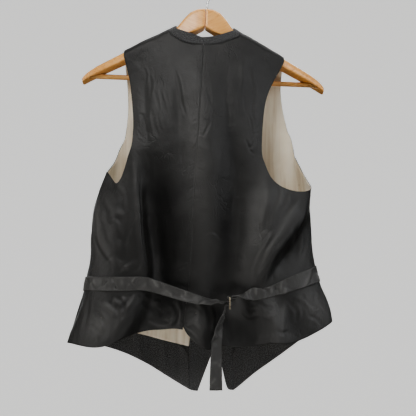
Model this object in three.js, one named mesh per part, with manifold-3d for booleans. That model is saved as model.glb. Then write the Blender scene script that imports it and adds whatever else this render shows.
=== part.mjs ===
// Back of a man's suit waistcoat on a contoured wooden hanger.
// Millimetres. +Z up, +X to the wearer's right, +Y towards the waistcoat's front.
// The origin is the inside top of the hanger's hook, where a rail holds it.
import * as THREE from 'three';
import { mergeVertices } from 'three/addons/utils/BufferGeometryUtils.js';
import Module from 'manifold-3d';

const wasm = await Module();
wasm.setup();

// Cloth
const shell = 1.2; // satin back, wool front
const liningThick = 1.0;
const layerGap = 0.3; // between a shell and what lines it
const seamInset = 0.2; // each piece stops this far short of its seam line
const liningInset = 0.5;
const bandThick = 1.5;
const strapThick = 1.8;
const strapLift = 0.35; // strap above the panel that it is sewn to

// Hanger
const tilt = THREE.MathUtils.degToRad(2.4); // it hangs lower on the wearer's right
const lean = THREE.MathUtils.degToRad(8); // its arms lean, lower edge towards the back
const hookRadius = 22; // to the middle of the wire
const wireRadius = 2;
const hookCentre = -20;
const stemEnd = -90;
const drillClearance = 0.3;
const stemHoleLength = 40; // longer than the wood above it
const barRadius = 4.5;
const barHeight = -196;
const barDepth = 20; // y of the trouser bar
const barHalf = 208.5;
const armJoint = 0.2; // half the gap between the two glued arms

// Shoulders: stations along an arm, from the hanger's middle
const neckInner = 51.5; // inner edge of the neck band
const neckOuter = 62; // where band and shoulder seam meet
const shoulderEnd = 144.5;
const clothLift = 4.3; // outer face of the cloth above the wood
const buttonSink = 0.45; // back of a button above the middle of the front's outer face
const rollRise = 16;
const rollBack = 19.5;
const rollFront = 16;
const rollSteps = 4;

// Buttons and buckle
const buttonRadius = 7.5;
const buttonThick = 3;
const buttonHeights = [-356, -422, -488, -554, -620];
const buttonFromEdge = 17;
const buckleCentre = new THREE.Vector3(38, -72.5, -598);
const buckleHalfLength = 15; // along Y
const buckleBarStep = 9; // between its three bars
const buckleWire = 1.1;
const strapTurn = 3.25; // outer face of a strap about a buckle bar
const strapHalfWidth = 11.5;
const strapStub = 12; // length that runs on past the buckle bar and is stitched to itself

const blackSatin = new THREE.MeshStandardMaterial({ color: 0x2b2a29, roughness: 0.42, metalness: 0 });
const blackWool = new THREE.MeshStandardMaterial({ color: 0x252423, roughness: 0.92, metalness: 0 });
const creamLining = new THREE.MeshStandardMaterial({ color: 0xb9ac93, roughness: 0.7, metalness: 0 });
const wood = new THREE.MeshStandardMaterial({ color: 0xc67f3d, roughness: 0.45, metalness: 0 });
const steel = new THREE.MeshStandardMaterial({ color: 0xb8b8b8, roughness: 0.25, metalness: 1 });
const brass = new THREE.MeshStandardMaterial({ color: 0x6d5f45, roughness: 0.35, metalness: 1 });
const blackHorn = new THREE.MeshStandardMaterial({ color: 0x161514, roughness: 0.3, metalness: 0 });

// Heights that every panel shares, from the hem up, and the cells between them
const rowNames = ['hem', 'low', 'beltLow', 'beltTop', 'waist', 'mid', 'high', 'armhole',
  'chest', 'blade', 'yoke', 'top'];
const rowCells = [2, 2, 2, 1, 2, 3, 4, 3, 3, 2, 2];
const armholeRow = rowNames.indexOf('armhole');
const topRow = rowNames.indexOf('top');

// Seams that two panels share: [x, y, z] at each height
const centreSeam = {
  hem: [-41, -46, -643], low: [-39, -48, -623], beltLow: [-33, -48, -583], beltTop: [-30, -49, -557],
  waist: [-28, -51, -525], mid: [-26, -54, -492], high: [-24, -56, -438], armhole: [-20, -53, -364],
  chest: [-16, -49, -309], blade: [-12, -42, -246], yoke: [-8, -33, -192], top: [-6, -23, -140],
};
const leftSide = {
  hem: [-244, 1, -667], low: [-232, 1, -629], beltLow: [-216, 1, -578], beltTop: [-212, 1, -552],
  waist: [-205, 1, -524], mid: [-205, 1, -488], high: [-201.5, 2, -431], armhole: [-178.5, 3, -365],
};
const rightSide = {
  hem: [213, 40, -628], low: [207, 42, -598], beltLow: [191, 44, -558], beltTop: [184, 44, -532],
  waist: [177, 44, -506], mid: [174, 44, -470], high: [171, 42, -418], armhole: [161, 38, -334],
};

// Each panel's columns run between its seams. A row holds [x, y, z] for each named column.
const backLeft = {
  columns: ['mid', 'inner', 'valley', 'arm', 'scye', 'hollow', 'turn'],
  cells: [2, 2, 2, 3, 2, 2, 2, 2],
  hem: [[-56, -43, -641], [-75, -38, -643], [-106, -32, -645], [-151, -70, -662], [-171, -64, -670],
    [-195, -52, -673], [-232, -16, -668]],
  low: [[-54, -46, -621], [-71, -42, -622], [-97, -32, -620], [-128, -68, -626], [-155, -62, -628],
    [-183, -52, -630], [-221, -18, -629]],
  beltLow: [[-47, -47, -579], [-64, -43, -578], [-90, -36, -578], [-108, -50, -577], [-137, -54, -579],
    [-167, -50, -579], [-206, -18, -578]],
  beltTop: [[-44, -48, -553], [-61, -44, -552], [-88, -34, -552], [-105, -54, -552], [-132, -54, -553],
    [-161, -49, -553], [-201, -18, -552]],
  waist: [[-44, -48, -525], [-67, -40, -525], [-92, -29, -524], [-107, -58, -526], [-130, -53, -525],
    [-160, -46, -525], [-193, -18, -524]],
  mid: [[-42, -51, -491], [-68, -40, -491], [-97, -28, -490], [-111, -60, -492], [-136, -52, -491],
    [-162, -43, -491], [-193, -17, -489]],
  high: [[-41, -53, -437], [-69, -44, -436], [-102, -34, -435], [-117, -58, -437], [-139, -46, -438],
    [-162, -37, -438], [-189, -14, -434]],
  armhole: [[-36, -51, -360], [-64, -48, -355], [-98, -44, -344], [-130, -41, -326], [-142, -38, -365],
    [-156, -30, -394], [-169, -10, -377]],
  chest: [[-34, -48, -306], [-64, -46, -302], [-97, -42, -294], [-129, -29, -282]],
  blade: [[-33, -42, -244], [-65, -39, -240], [-100, -31, -233], [-135, -17, -224]],
  yoke: [[-34, -33, -188], [-65, -29, -186], [-105, -19, -187], [-141, -9, -189]],
  top: [[-42, -21, -136]],
};
const backRight = {
  columns: ['fall', 'valley', 'light', 'arm', 'scye', 'swell', 'ridge', 'recess', 'flank', 'turn'],
  cells: [2, 2, 2, 2, 2, 2, 2, 2, 2, 2, 3],
  hem: [[-1, -62, -679], [27, -36, -667], [58, -36, -670], [80, -44, -670], [94, -56, -668],
    [105, -62, -665], [119, -62, -666], [139, -46, -667], [172, -32, -656], [220, -2, -631]],
  low: [[-6, -62, -629], [29, -34, -630], [57, -32, -630], [77, -42, -630], [91, -58, -628],
    [104, -66, -626], [117, -66, -624], [139, -42, -623], [169, -36, -615], [215, -2, -603]],
  beltLow: [[-1, -56, -593], [26, -40, -596], [50, -40, -596], [63, -46, -596], [71, -52, -595],
    [79, -57, -595], [93, -60, -593], [112, -52, -588], [146, -44, -579], [198, -4, -562]],
  beltTop: [[0, -54, -564], [26, -44, -567], [50, -44, -567], [61, -49, -568], [69, -54, -568],
    [78, -59, -570], [89, -60, -572], [107, -52, -569], [143, -46, -552], [191, -4, -533]],
  waist: [[4, -54, -525], [29, -44, -525], [54, -53, -524], [69, -60, -524], [83, -65, -524],
    [96, -68, -524], [109, -66, -526], [126, -34, -526], [159, -26, -516], [187, -2, -506]],
  mid: [[5, -56, -492], [33, -46, -491], [60, -53, -490], [81, -60, -490], [101, -64, -490],
    [122, -66, -491], [140, -62, -492], [155, -32, -488], [173, -18, -482], [186, 0, -475]],
  high: [[5, -56, -440], [33, -50, -438], [62, -51, -438], [89, -54, -439], [114, -56, -444],
    [142, -54, -447], [167, -44, -450], [176, -24, -442], [181, -6, -434], [182, 8, -426]],
  armhole: [[5, -54, -364], [35, -52, -361], [66, -48, -355], [95, -43, -345], [108, -47, -382],
    [133, -42, -401], [164, -25, -405], [180, -10, -401], [187, 1, -395], [178, 14, -376]],
  chest: [[9, -50, -310], [38, -48, -308], [68, -43, -305], [97, -33, -299]],
  blade: [[14, -42, -246], [44, -39, -244], [76, -31, -240], [106, -19, -235]],
  yoke: [[21, -33, -194], [53, -30, -197], [88, -21, -200], [122, -10, -200]],
  top: [[25, -21, -138]],
};
const frontLeft = {
  columns: ['turn', 'arm', 'chest', 'mid', 'facing', 'edge'],
  cells: [2, 3, 2, 2, 2, 3],
  hem: [[-222, 20, -668], [-175, 38, -677], [-124, 55, -698], [-75, 59, -727], [-30, 60, -754], [-17, 61, -756]],
  low: [[-213, 22, -634], [-165, 42, -642], [-118, 55, -655], [-72, 59, -667], [-33, 61, -677], [12, 62, -681]],
  beltLow: [[-200, 24, -582], [-158, 44, -588], [-110, 55, -596], [-65, 59, -606], [-22, 61, -614], [36, 63, -620]],
  beltTop: [[-196, 24, -553], [-155, 44, -556], [-106, 54, -561], [-62, 58, -567], [-22, 60.5, -573], [34, 62.5, -579]],
  waist: [[-190, 24, -524], [-152, 44, -524], [-103, 53, -525], [-60, 57, -526], [-24, 60, -528], [32, 62, -530]],
  mid: [[-188, 25, -486], [-150, 44, -484], [-102, 53, -483], [-60, 56.5, -482], [-26, 59, -482], [30, 61, -482]],
  high: [[-186, 25, -430], [-151, 44, -422], [-104, 52, -414], [-64, 55.5, -406], [-32, 58, -400], [27, 60, -398]],
  armhole: [[-168, 28, -345], [-151, 43, -303], [-108, 50, -318], [-72, 53.5, -328], [-42, 56, -336], [22, 58.5, -348]],
  chest: [[-146, 43, -258], [-112, 48, -264], [-84, 50, -270], [-60, 51, -276], [-12, 52, -288]],
  blade: [[-146, 39, -212], [-115, 42, -208], [-95, 42, -206], [-77, 42, -206], [-36, 40, -214]],
  yoke: [[-148.5, 32, -182], [-122, 34, -173], [-102, 33, -165], [-85, 32, -160], [-49, 29, -152]],
  top: [],
};
const frontRight = {
  columns: ['turn', 'arm', 'chest', 'mid', 'facing', 'edge'],
  cells: [2, 3, 2, 2, 2, 3],
  hem: [[192, 45, -646], [163, 48, -668], [117, 56, -702], [78, 58.5, -729], [48, 58.5, -754], [35, 58, -752]],
  low: [[188, 47, -612], [160, 51, -626], [118, 56, -648], [82, 58, -664], [46, 58, -677], [20, 57, -682]],
  beltLow: [[177, 50, -568], [152, 54, -577], [115, 57, -591], [84, 58, -602], [58, 58, -610], [3, 56.5, -619]],
  beltTop: [[171, 50, -538], [150, 54, -545], [114, 56, -556], [84, 57.5, -564], [57, 57.5, -570], [0, 56, -577]],
  waist: [[167, 49, -512], [149, 53, -516], [114, 55.5, -521], [84, 57, -526], [56, 57, -529], [-2, 55.5, -532]],
  mid: [[165, 48, -472], [149, 51, -474], [113, 55, -477], [83, 56.5, -480], [55, 56.5, -482], [-4, 55, -484]],
  high: [[161, 46, -416], [148, 50, -411], [112, 53.5, -405], [81, 55, -401], [52, 55, -398], [-7, 54, -396]],
  armhole: [[158, 42, -313], [148, 45, -286], [112, 50, -305], [81, 52.5, -320], [52, 53.5, -332], [-12, 53.5, -352]],
  chest: [[140, 42.5, -248], [106, 46.5, -257], [80, 47.5, -264], [57, 48, -271], [9, 48, -288]],
  blade: [[135.5, 37, -212], [104, 40, -210], [84, 40, -210], [66, 39.5, -210], [27, 38, -217]],
  yoke: [[136, 31, -193], [110, 33, -184], [90, 32, -176], [73, 31, -170], [38, 28, -160]],
  top: [],
};

// Neck opening: the band's inner edge, from the centre seam round to where it crosses the shoulder
const bandInnerLeft = [[-9, -22.5, -127], [-23, -22, -121], [-38, -21, -116], [-49, -19, -112]];
const bandInnerRight = [[-9, -22.5, -127], [9, -22, -126], [24, -21.5, -122], [35, -20.5, -118], [42, -19, -115]];

// Free run of each strap: its top and bottom edge
const strapLeftFree = [
  { top: [-80, -62, -561], bottom: [-81, -61, -583] },
  { top: [-45, -68, -573], bottom: [-45, -68, -595] },
  { top: [-16, -69, -583], bottom: [-15, -77, -601] },
  { top: [4, -64, -590], bottom: [5, -83, -600] },
  { top: [20, -61, -594], bottom: [20, -84, -596] },
];
const strapTail = [
  { top: [31, -61, -612], bottom: [30, -84, -612] },
  { top: [28.5, -62, -628], bottom: [19, -82.5, -628] },
  { top: [27, -65, -648], bottom: [11, -80, -648] },
  { top: [26, -67, -668], bottom: [7, -77, -668] },
  { top: [25.5, -68, -705], bottom: [4.5, -74, -705] },
  { top: [26, -69, -742], bottom: [4, -72, -742] },
];
const strapRightFree = [
  { top: [67, -67, -577], bottom: [68, -74, -593] },
  { top: [58, -63, -582.5], bottom: [57, -83, -588] },
];

// Half of the hanger: crest and lower edge of an arm, its half thickness and its place front to back
const armSections = [
  { x: armJoint, crest: -68, lower: -106.5, half: 11, y: 0 },
  { x: 15, crest: -70, lower: -115.5, half: 11, y: 0.2 },
  { x: 27, crest: -76, lower: -121, half: 11, y: 0.5 },
  { x: 38, crest: -88, lower: -126, half: 11.3, y: 0.8 },
  { x: 50, crest: -104.5, lower: -131.5, half: 11.8, y: 1.2 },
  { x: 75, crest: -117.4, lower: -142.6, half: 12.2, y: 2.2 },
  { x: 100, crest: -130.3, lower: -153.8, half: 12.5, y: 4 },
  { x: 125, crest: -143, lower: -165, half: 12.8, y: 7.4 },
  { x: 150, crest: -155.8, lower: -175.5, half: 13, y: 12 },
  { x: 175, crest: -168, lower: -186.5, half: 13, y: 17.8 },
  { x: 195, crest: -177.8, lower: -196, half: 13, y: 23 },
  { x: 208, crest: -186, lower: -202, half: 12.6, y: 26.6 },
  { x: 216, crest: -192.5, lower: -206.5, half: 11.6, y: 28.9 },
  { x: 221, crest: -198.5, lower: -208.5, half: 9.4, y: 30.3 },
];

function vector(p) {
  return p.isVector3 ? p.clone() : new THREE.Vector3(...p);
}

// A smooth line through control points, read at a place counted in points
function alongPoints(points, place) {
  if (points.length === 1) return vector(points[0]);
  const curve = new THREE.CatmullRomCurve3(points.map(vector));
  return curve.getPoint(THREE.MathUtils.clamp(place / (points.length - 1), 0, 1));
}

// Turns a point of the level hanger by its tilt about the hook's middle
function tilted(x, y, z) {
  const drop = z - hookCentre;
  return new THREE.Vector3(x * Math.cos(tilt) + drop * Math.sin(tilt), y,
    hookCentre - x * Math.sin(tilt) + drop * Math.cos(tilt));
}

// Value of one column of the arm's table at a distance from the middle
function armValue(distance, key) {
  let i = 0;
  while (i < armSections.length - 2 && armSections[i + 1].x < distance) i += 1;
  const a = armSections[i];
  const b = armSections[i + 1];
  return THREE.MathUtils.lerp(a[key], b[key], (distance - a.x) / (b.x - a.x));
}

// Crest of the cloth over an arm: side is -1 on the wearer's left and 1 on the right
function clothCrest(side, distance) {
  const p = tilted(side * distance, armValue(distance, 'y'), armValue(distance, 'crest'));
  p.z += clothLift;
  return p;
}

// Quarter ellipse of cloth over an arm. rise is 0 where it starts and 1 on the crest.
function shoulderRoll(side, distance, depth, rise) {
  const angle = rise * Math.PI / 2;
  const p = clothCrest(side, distance);
  p.y += depth * Math.cos(angle);
  p.z += rollRise * (Math.sin(angle) - 1);
  return p;
}

// Places of the grid lines, counted in guides
function places(cells) {
  const list = [0];
  cells.forEach((count, i) => {
    for (let k = 1; k <= count; k += 1) list.push(i + k / count);
  });
  return list;
}

// A panel's grid. firstSeam and lastSeam are shared seams, and a front has no last one.
function makePanel({ table, side, isBack, firstSeam, lastSeam }) {
  const guideCount = table.columns.length + (lastSeam ? 2 : 1);
  const armGuide = table.columns.indexOf('arm') + 1;
  const firstUpper = isBack ? 0 : armGuide;
  const lastUpper = isBack ? armGuide : guideCount - 1;
  const neckGuide = isBack ? 2 : guideCount - 1;
  const depth = isBack ? -rollBack : rollFront;
  const neckDistance = isBack ? neckOuter : neckInner;
  const columnPlaces = places(table.cells);
  const rowPlaces = places(rowCells);

  const shoulderDistance = (place) => {
    const part = (place - neckGuide) / (armGuide - neckGuide);
    return THREE.MathUtils.lerp(neckDistance, shoulderEnd, part);
  };
  const onShoulder = (place) => place >= Math.min(neckGuide, armGuide) - 1e-6
    && place <= Math.max(neckGuide, armGuide) + 1e-6;

  // Control points of one height, with the guide that they start at
  const controls = rowNames.map((name, i) => {
    let points = table[name].map(vector);
    if (i <= armholeRow) {
      points.unshift(vector(firstSeam[name]));
      if (lastSeam) points.push(vector(lastSeam[name]));
      return { start: 0, points };
    }
    if (name === 'top') {
      for (let g = Math.min(neckGuide, armGuide); g <= Math.max(neckGuide, armGuide); g += 1) {
        points.push(shoulderRoll(side, shoulderDistance(g), depth, 0));
      }
    }
    if (isBack) points = [vector(firstSeam[name]), ...points];
    return { start: firstUpper, points };
  });

  const pointAt = (column, row) => {
    const stations = [];
    const lastStation = column >= firstUpper && column <= lastUpper ? topRow : armholeRow;
    for (let i = 0; i <= lastStation; i += 1) {
      const { start, points } = controls[i];
      const exact = i === topRow && onShoulder(column);
      stations.push(exact ? shoulderRoll(side, shoulderDistance(column), depth, 0)
        : alongPoints(points, column - start));
    }
    return alongPoints(stations, row);
  };

  const rows = rowPlaces.length + rollSteps;
  const grid = [];
  for (let r = 0; r < rows; r += 1) {
    const line = columnPlaces.map((place) => {
      if (r < rowPlaces.length) {
        const upper = rowPlaces[r] > armholeRow + 1e-6;
        if (upper && (place < firstUpper - 1e-6 || place > lastUpper + 1e-6)) return null;
        return pointAt(place, rowPlaces[r]);
      }
      if (!onShoulder(place)) return null;
      const rise = (r - rowPlaces.length + 1) / rollSteps;
      return shoulderRoll(side, shoulderDistance(place), depth, rise);
    });
    grid.push(line);
  }
  const columnOf = (guide) => columnPlaces.findIndex((p) => Math.abs(p - guide) < 1e-6);
  const rowOf = (name) => rowPlaces.findIndex((p) => Math.abs(p - rowNames.indexOf(name)) < 1e-6);
  const flip = side < 0;
  const normals = gridNormals(grid, flip);
  const crestSlope = new THREE.Vector3().subVectors(clothCrest(side, shoulderEnd), clothCrest(side, neckOuter));
  const crestNormal = new THREE.Vector3(-crestSlope.z, 0, crestSlope.x).normalize();
  if (crestNormal.z < 0) crestNormal.negate();
  normals[rows - 1] = normals[rows - 1].map((n) => (n ? crestNormal.clone() : null));
  return { grid, normals, flip, columnOf, rowOf, armGuide, neckGuide, guideCount, pointAt };
}

function isCell(grid, r, c) {
  return Boolean(grid[r] && grid[r + 1] && grid[r][c] && grid[r][c + 1] && grid[r + 1][c] && grid[r + 1][c + 1]);
}

// Outward normal at each grid point, from the cells around it
function gridNormals(grid, flip) {
  const sums = grid.map((line) => line.map((p) => (p ? new THREE.Vector3() : null)));
  for (let r = 0; r < grid.length - 1; r += 1) {
    for (let c = 0; c < grid[r].length - 1; c += 1) {
      if (!isCell(grid, r, c)) continue;
      const across = grid[r + 1][c + 1].clone().sub(grid[r][c]);
      const other = grid[r + 1][c].clone().sub(grid[r][c + 1]);
      const n = across.cross(other).normalize();
      if (flip) n.negate();
      [[r, c], [r, c + 1], [r + 1, c], [r + 1, c + 1]].forEach(([i, j]) => sums[i][j].add(n));
    }
  }
  sums.forEach((line) => line.forEach((n) => n && n.normalize()));
  return sums;
}

// Two panels that meet at a seam turn the same way there
function matchNormals(a, columnA, b, columnB, lastRow) {
  for (let r = 0; r <= lastRow; r += 1) {
    const n = a.normals[r][columnA].clone().add(b.normals[r][columnB]).normalize();
    a.normals[r][columnA].copy(n);
    b.normals[r][columnB].copy(n);
  }
}

// Closed wall over the chosen cells of a grid, sunk below its outer face and stopped short of its edges
function wall({ grid, normals, flip, chosen = () => true, sunk = 0, thick, inset = seamInset }) {
  const isChosen = (r, c) => r >= 0 && c >= 0 && isCell(grid, r, c) && chosen(r, c);
  const positions = [];
  const indexOf = new Map();
  const place = (r, c) => {
    const key = `${r},${c}`;
    if (indexOf.has(key)) return indexOf.get(key);
    const p = grid[r][c].clone();
    const around = [[r - 1, c - 1], [r - 1, c], [r, c - 1], [r, c]].filter(([i, j]) => isChosen(i, j));
    if (around.length < 4) {
      const inward = new THREE.Vector3();
      around.forEach(([i, j]) => {
        const middle = grid[i][j].clone().add(grid[i][j + 1]).add(grid[i + 1][j]).add(grid[i + 1][j + 1]);
        inward.add(middle.multiplyScalar(0.25).sub(grid[r][c]).normalize());
      });
      const reach = around.length === 2 ? inset : inset * Math.SQRT2;
      p.addScaledVector(inward.normalize(), reach);
    }
    const outer = p.clone().addScaledVector(normals[r][c], -sunk);
    const inner = p.clone().addScaledVector(normals[r][c], -sunk - thick);
    const index = positions.length / 3;
    positions.push(...outer.toArray(), ...inner.toArray());
    indexOf.set(key, index);
    return index;
  };
  const faces = [];
  const triangle = (a, b, c) => (flip ? faces.push(a, c, b) : faces.push(a, b, c));
  for (let r = 0; r < grid.length - 1; r += 1) {
    for (let c = 0; c < grid[r].length - 1; c += 1) {
      if (!isChosen(r, c)) continue;
      const corners = [[r, c], [r, c + 1], [r + 1, c + 1], [r + 1, c]];
      const [a, b, d, e] = corners.map(([i, j]) => place(i, j));
      const shorter = grid[r][c].distanceTo(grid[r + 1][c + 1]) < grid[r][c + 1].distanceTo(grid[r + 1][c]);
      const split = shorter ? [[a, b, d], [a, d, e]] : [[a, b, e], [b, d, e]];
      split.forEach(([i, j, k]) => {
        triangle(i, j, k);
        triangle(i + 1, k + 1, j + 1);
      });
      const rims = [[a, b, r - 1, c], [b, d, r, c + 1], [d, e, r + 1, c], [e, a, r, c - 1]];
      rims.forEach(([from, to, i, j]) => {
        if (isChosen(i, j)) return;
        triangle(to, from, from + 1);
        triangle(to, from + 1, to + 1);
      });
    }
  }
  const geometry = new THREE.BufferGeometry();
  geometry.setAttribute('position', new THREE.Float32BufferAttribute(positions, 3));
  geometry.setIndex(faces);
  return geometry;
}

const waistcoat = new THREE.Group();

function addMesh(name, geometry, material) {
  const mesh = new THREE.Mesh(geometry, material);
  mesh.name = name;
  waistcoat.add(mesh);
  return mesh;
}

// Backs and fronts
const panels = {
  backLeft: makePanel({ table: backLeft, side: -1, isBack: true, firstSeam: centreSeam, lastSeam: leftSide }),
  backRight: makePanel({ table: backRight, side: 1, isBack: true, firstSeam: centreSeam, lastSeam: rightSide }),
  frontLeft: makePanel({ table: frontLeft, side: -1, isBack: false, firstSeam: leftSide }),
  frontRight: makePanel({ table: frontRight, side: 1, isBack: false, firstSeam: rightSide }),
};
const lastSeamRow = panels.backLeft.rowOf('armhole');
const lastCentreRow = panels.backLeft.rowOf('top');
matchNormals(panels.backLeft, 0, panels.backRight, 0, lastCentreRow);
[['backLeft', 'frontLeft'], ['backRight', 'frontRight']].forEach(([back, front]) => {
  const sideColumn = panels[back].columnOf(panels[back].guideCount - 1);
  matchNormals(panels[back], sideColumn, panels[front], 0, lastSeamRow);
});

['left', 'right'].forEach((sideName) => {
  const back = sideName === 'left' ? panels.backLeft : panels.backRight;
  const front = sideName === 'left' ? panels.frontLeft : panels.frontRight;
  const facingColumn = front.columnOf(front.guideCount - 2);
  const facingRow = front.rowOf('low');
  const onEdgeFacing = (r, c) => c >= facingColumn;
  const onHemFacing = (r, c) => c < facingColumn && r < facingRow;
  const onLining = (r, c) => c < facingColumn && r >= facingRow;
  const lined = shell + layerGap;

  addMesh(`back_${sideName}`, wall({ ...back, thick: shell }), blackSatin);
  addMesh(`back_lining_${sideName}`, wall({ ...back, sunk: lined, thick: liningThick, inset: liningInset }),
    creamLining);
  addMesh(`front_${sideName}`, wall({ ...front, thick: shell }), blackWool);
  addMesh(`front_lining_${sideName}`,
    wall({ ...front, chosen: onLining, sunk: lined, thick: liningThick, inset: liningInset }), creamLining);
  addMesh(`edge_facing_${sideName}`,
    wall({ ...front, chosen: onEdgeFacing, sunk: lined, thick: liningThick }), blackWool);
  addMesh(`hem_facing_${sideName}`,
    wall({ ...front, chosen: onHemFacing, sunk: lined, thick: liningThick }), blackWool);
});

// Neck band: a strip from the centre seam round and over each shoulder
function neckBand(back, side, innerPoints) {
  const neckColumn = back.columnOf(back.neckGuide);
  const neckRow = back.rowOf('top');
  const outerLine = [];
  for (let c = 0; c <= neckColumn; c += 1) outerLine.push(back.grid[neckRow][c]);
  for (let r = neckRow + 1; r <= neckRow + rollSteps; r += 1) outerLine.push(back.grid[r][neckColumn]);
  const overRoll = [];
  for (let k = 1; k <= rollSteps; k += 1) {
    overRoll.push(shoulderRoll(side, neckInner, -rollBack, k / rollSteps));
  }
  const flatPoints = neckColumn + 1;
  const innerLine = [];
  for (let k = 0; k < flatPoints; k += 1) {
    innerLine.push(alongPoints(innerPoints, (k / (flatPoints - 1)) * (innerPoints.length - 1)));
  }
  innerLine.push(...overRoll);
  const grid = [0, 0.5, 1].map((part) => outerLine.map((p, i) => p.clone().lerp(innerLine[i], part)));
  const flip = side < 0;
  const normals = gridNormals(grid, flip);
  const last = outerLine.length - 1;
  const crestNormal = back.normals[neckRow + rollSteps][neckColumn];
  normals.forEach((line) => line[last].copy(crestNormal));
  return { grid, normals, flip };
}
const bandLeft = neckBand(panels.backLeft, -1, bandInnerLeft);
const bandRight = neckBand(panels.backRight, 1, bandInnerRight);
bandLeft.normals.forEach((line, i) => {
  const n = line[0].clone().add(bandRight.normals[i][0]).normalize();
  line[0].copy(n);
  bandRight.normals[i][0].copy(n);
});
addMesh('neck_band_left', wall({ ...bandLeft, thick: bandThick }), blackWool);
addMesh('neck_band_right', wall({ ...bandRight, thick: bandThick }), blackWool);

// Waist straps: sewn along the back's own points, then free to the buckle
function strapPoints(panel, fromColumn, toColumn) {
  const low = panel.rowOf('beltLow');
  const top = panel.rowOf('beltTop');
  const lines = [];
  const lineNormals = [];
  const step = Math.sign(toColumn - fromColumn);
  for (let c = fromColumn; c !== toColumn + step; c += step) {
    const line = [];
    const ns = [];
    for (let r = low; r <= top; r += 1) {
      const n = panel.normals[r][c].clone();
      line.push(panel.grid[r][c].clone().addScaledVector(n, strapLift + strapThick));
      ns.push(n);
    }
    lines.push(line);
    lineNormals.push(ns);
  }
  return { lines, lineNormals };
}

function freeLine({ top, bottom }) {
  return [0, 0.5, 1].map((part) => vector(bottom).lerp(vector(top), part));
}

// Where a strap's width lies along Y, at the buckle
const strapNear = buckleCentre.y - strapHalfWidth;
const strapFar = buckleCentre.y + strapHalfWidth;
const levelLine = (x, z) => freeLine({ top: [x, strapFar, z], bottom: [x, strapNear, z] });

// Strap lines about a buckle bar, between two angles in the X-Z plane
function turnLines(centreX, centreZ, radius, fromAngle, toAngle, count) {
  const lines = [];
  for (let k = 0; k <= count; k += 1) {
    const angle = THREE.MathUtils.degToRad(THREE.MathUtils.lerp(fromAngle, toAngle, k / count));
    lines.push(levelLine(centreX + radius * Math.cos(angle), centreZ + radius * Math.sin(angle)));
  }
  return lines;
}

function strapWall(sewn, free, flip) {
  const grid = [...sewn.lines, ...free];
  const normals = gridNormals(grid, flip);
  sewn.lineNormals.forEach((ns, i) => {
    if (i < sewn.lineNormals.length - 1) normals[i] = ns;
  });
  return wall({ grid, normals, flip, thick: strapThick, inset: 0.6 });
}
const leftBack = panels.backLeft;
const rightBack = panels.backRight;
const tailBend = 2;
const leftFree = [
  ...strapLeftFree.map(freeLine),
  ...turnLines(buckleCentre.x, buckleCentre.z, strapTurn, 90, -90, 6),
  ...turnLines(buckleCentre.x - 5, buckleCentre.z - strapTurn - tailBend, tailBend, 90, 180, 2),
  ...strapTail.map(freeLine),
];
addMesh('strap_left', strapWall(
  strapPoints(leftBack, leftBack.columnOf(leftBack.guideCount - 1), leftBack.columnOf(leftBack.armGuide)),
  leftFree, true), blackSatin);
const swellGuide = backRight.columns.indexOf('swell') + 1;
const topBarHeight = buckleCentre.z + buckleBarStep;
const rightFree = [
  ...strapRightFree.map(freeLine),
  levelLine(buckleCentre.x + strapStub, topBarHeight + strapTurn),
  ...turnLines(buckleCentre.x, topBarHeight, strapTurn, 90, 270, 6),
  levelLine(buckleCentre.x + strapStub - 1, topBarHeight - strapTurn),
];
addMesh('strap_right', strapWall(
  strapPoints(rightBack, rightBack.columnOf(rightBack.guideCount - 1), rightBack.columnOf(swellGuide)),
  rightFree, false), blackSatin);

// Solids for cutting and joining
function toSolid(geometry) {
  const bare = geometry.clone();
  bare.deleteAttribute('normal');
  bare.deleteAttribute('uv');
  const merged = mergeVertices(bare, 1e-4);
  return new wasm.Manifold(new wasm.Mesh({
    numProp: 3,
    vertProperties: new Float32Array(merged.attributes.position.array),
    triVerts: new Uint32Array(merged.index.array),
  }));
}

function toGeometry(solid) {
  const mesh = solid.getMesh();
  const geometry = new THREE.BufferGeometry();
  geometry.setAttribute('position', new THREE.Float32BufferAttribute(mesh.vertProperties, 3));
  geometry.setIndex(Array.from(mesh.triVerts));
  return geometry;
}

function rod(radius, length, sides, direction, middle) {
  const geometry = new THREE.CylinderGeometry(radius, radius, length, sides);
  const turn = new THREE.Quaternion().setFromUnitVectors(new THREE.Vector3(0, 1, 0), direction.clone().normalize());
  geometry.applyQuaternion(turn);
  geometry.translate(middle.x, middle.y, middle.z);
  return geometry;
}

// Buckle: three bars along Y between two end rails
const alongY = new THREE.Vector3(0, 1, 0);
const alongZ = new THREE.Vector3(0, 0, 1);
const wireSides = 10;
let buckle = null;
[-1, 0, 1].forEach((step) => {
  const middle = buckleCentre.clone().add(new THREE.Vector3(0, 0, step * buckleBarStep));
  const bar = toSolid(rod(buckleWire, 2 * buckleHalfLength, wireSides, alongY, middle));
  buckle = buckle ? buckle.add(bar) : bar;
});
[-1, 1].forEach((end) => {
  const middle = buckleCentre.clone().add(new THREE.Vector3(0, end * buckleHalfLength, 0));
  const length = 2 * (buckleBarStep + buckleWire);
  buckle = buckle.add(toSolid(rod(buckleWire, length, wireSides, alongZ, middle)));
});
addMesh('buckle', toGeometry(buckle), brass);

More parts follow.
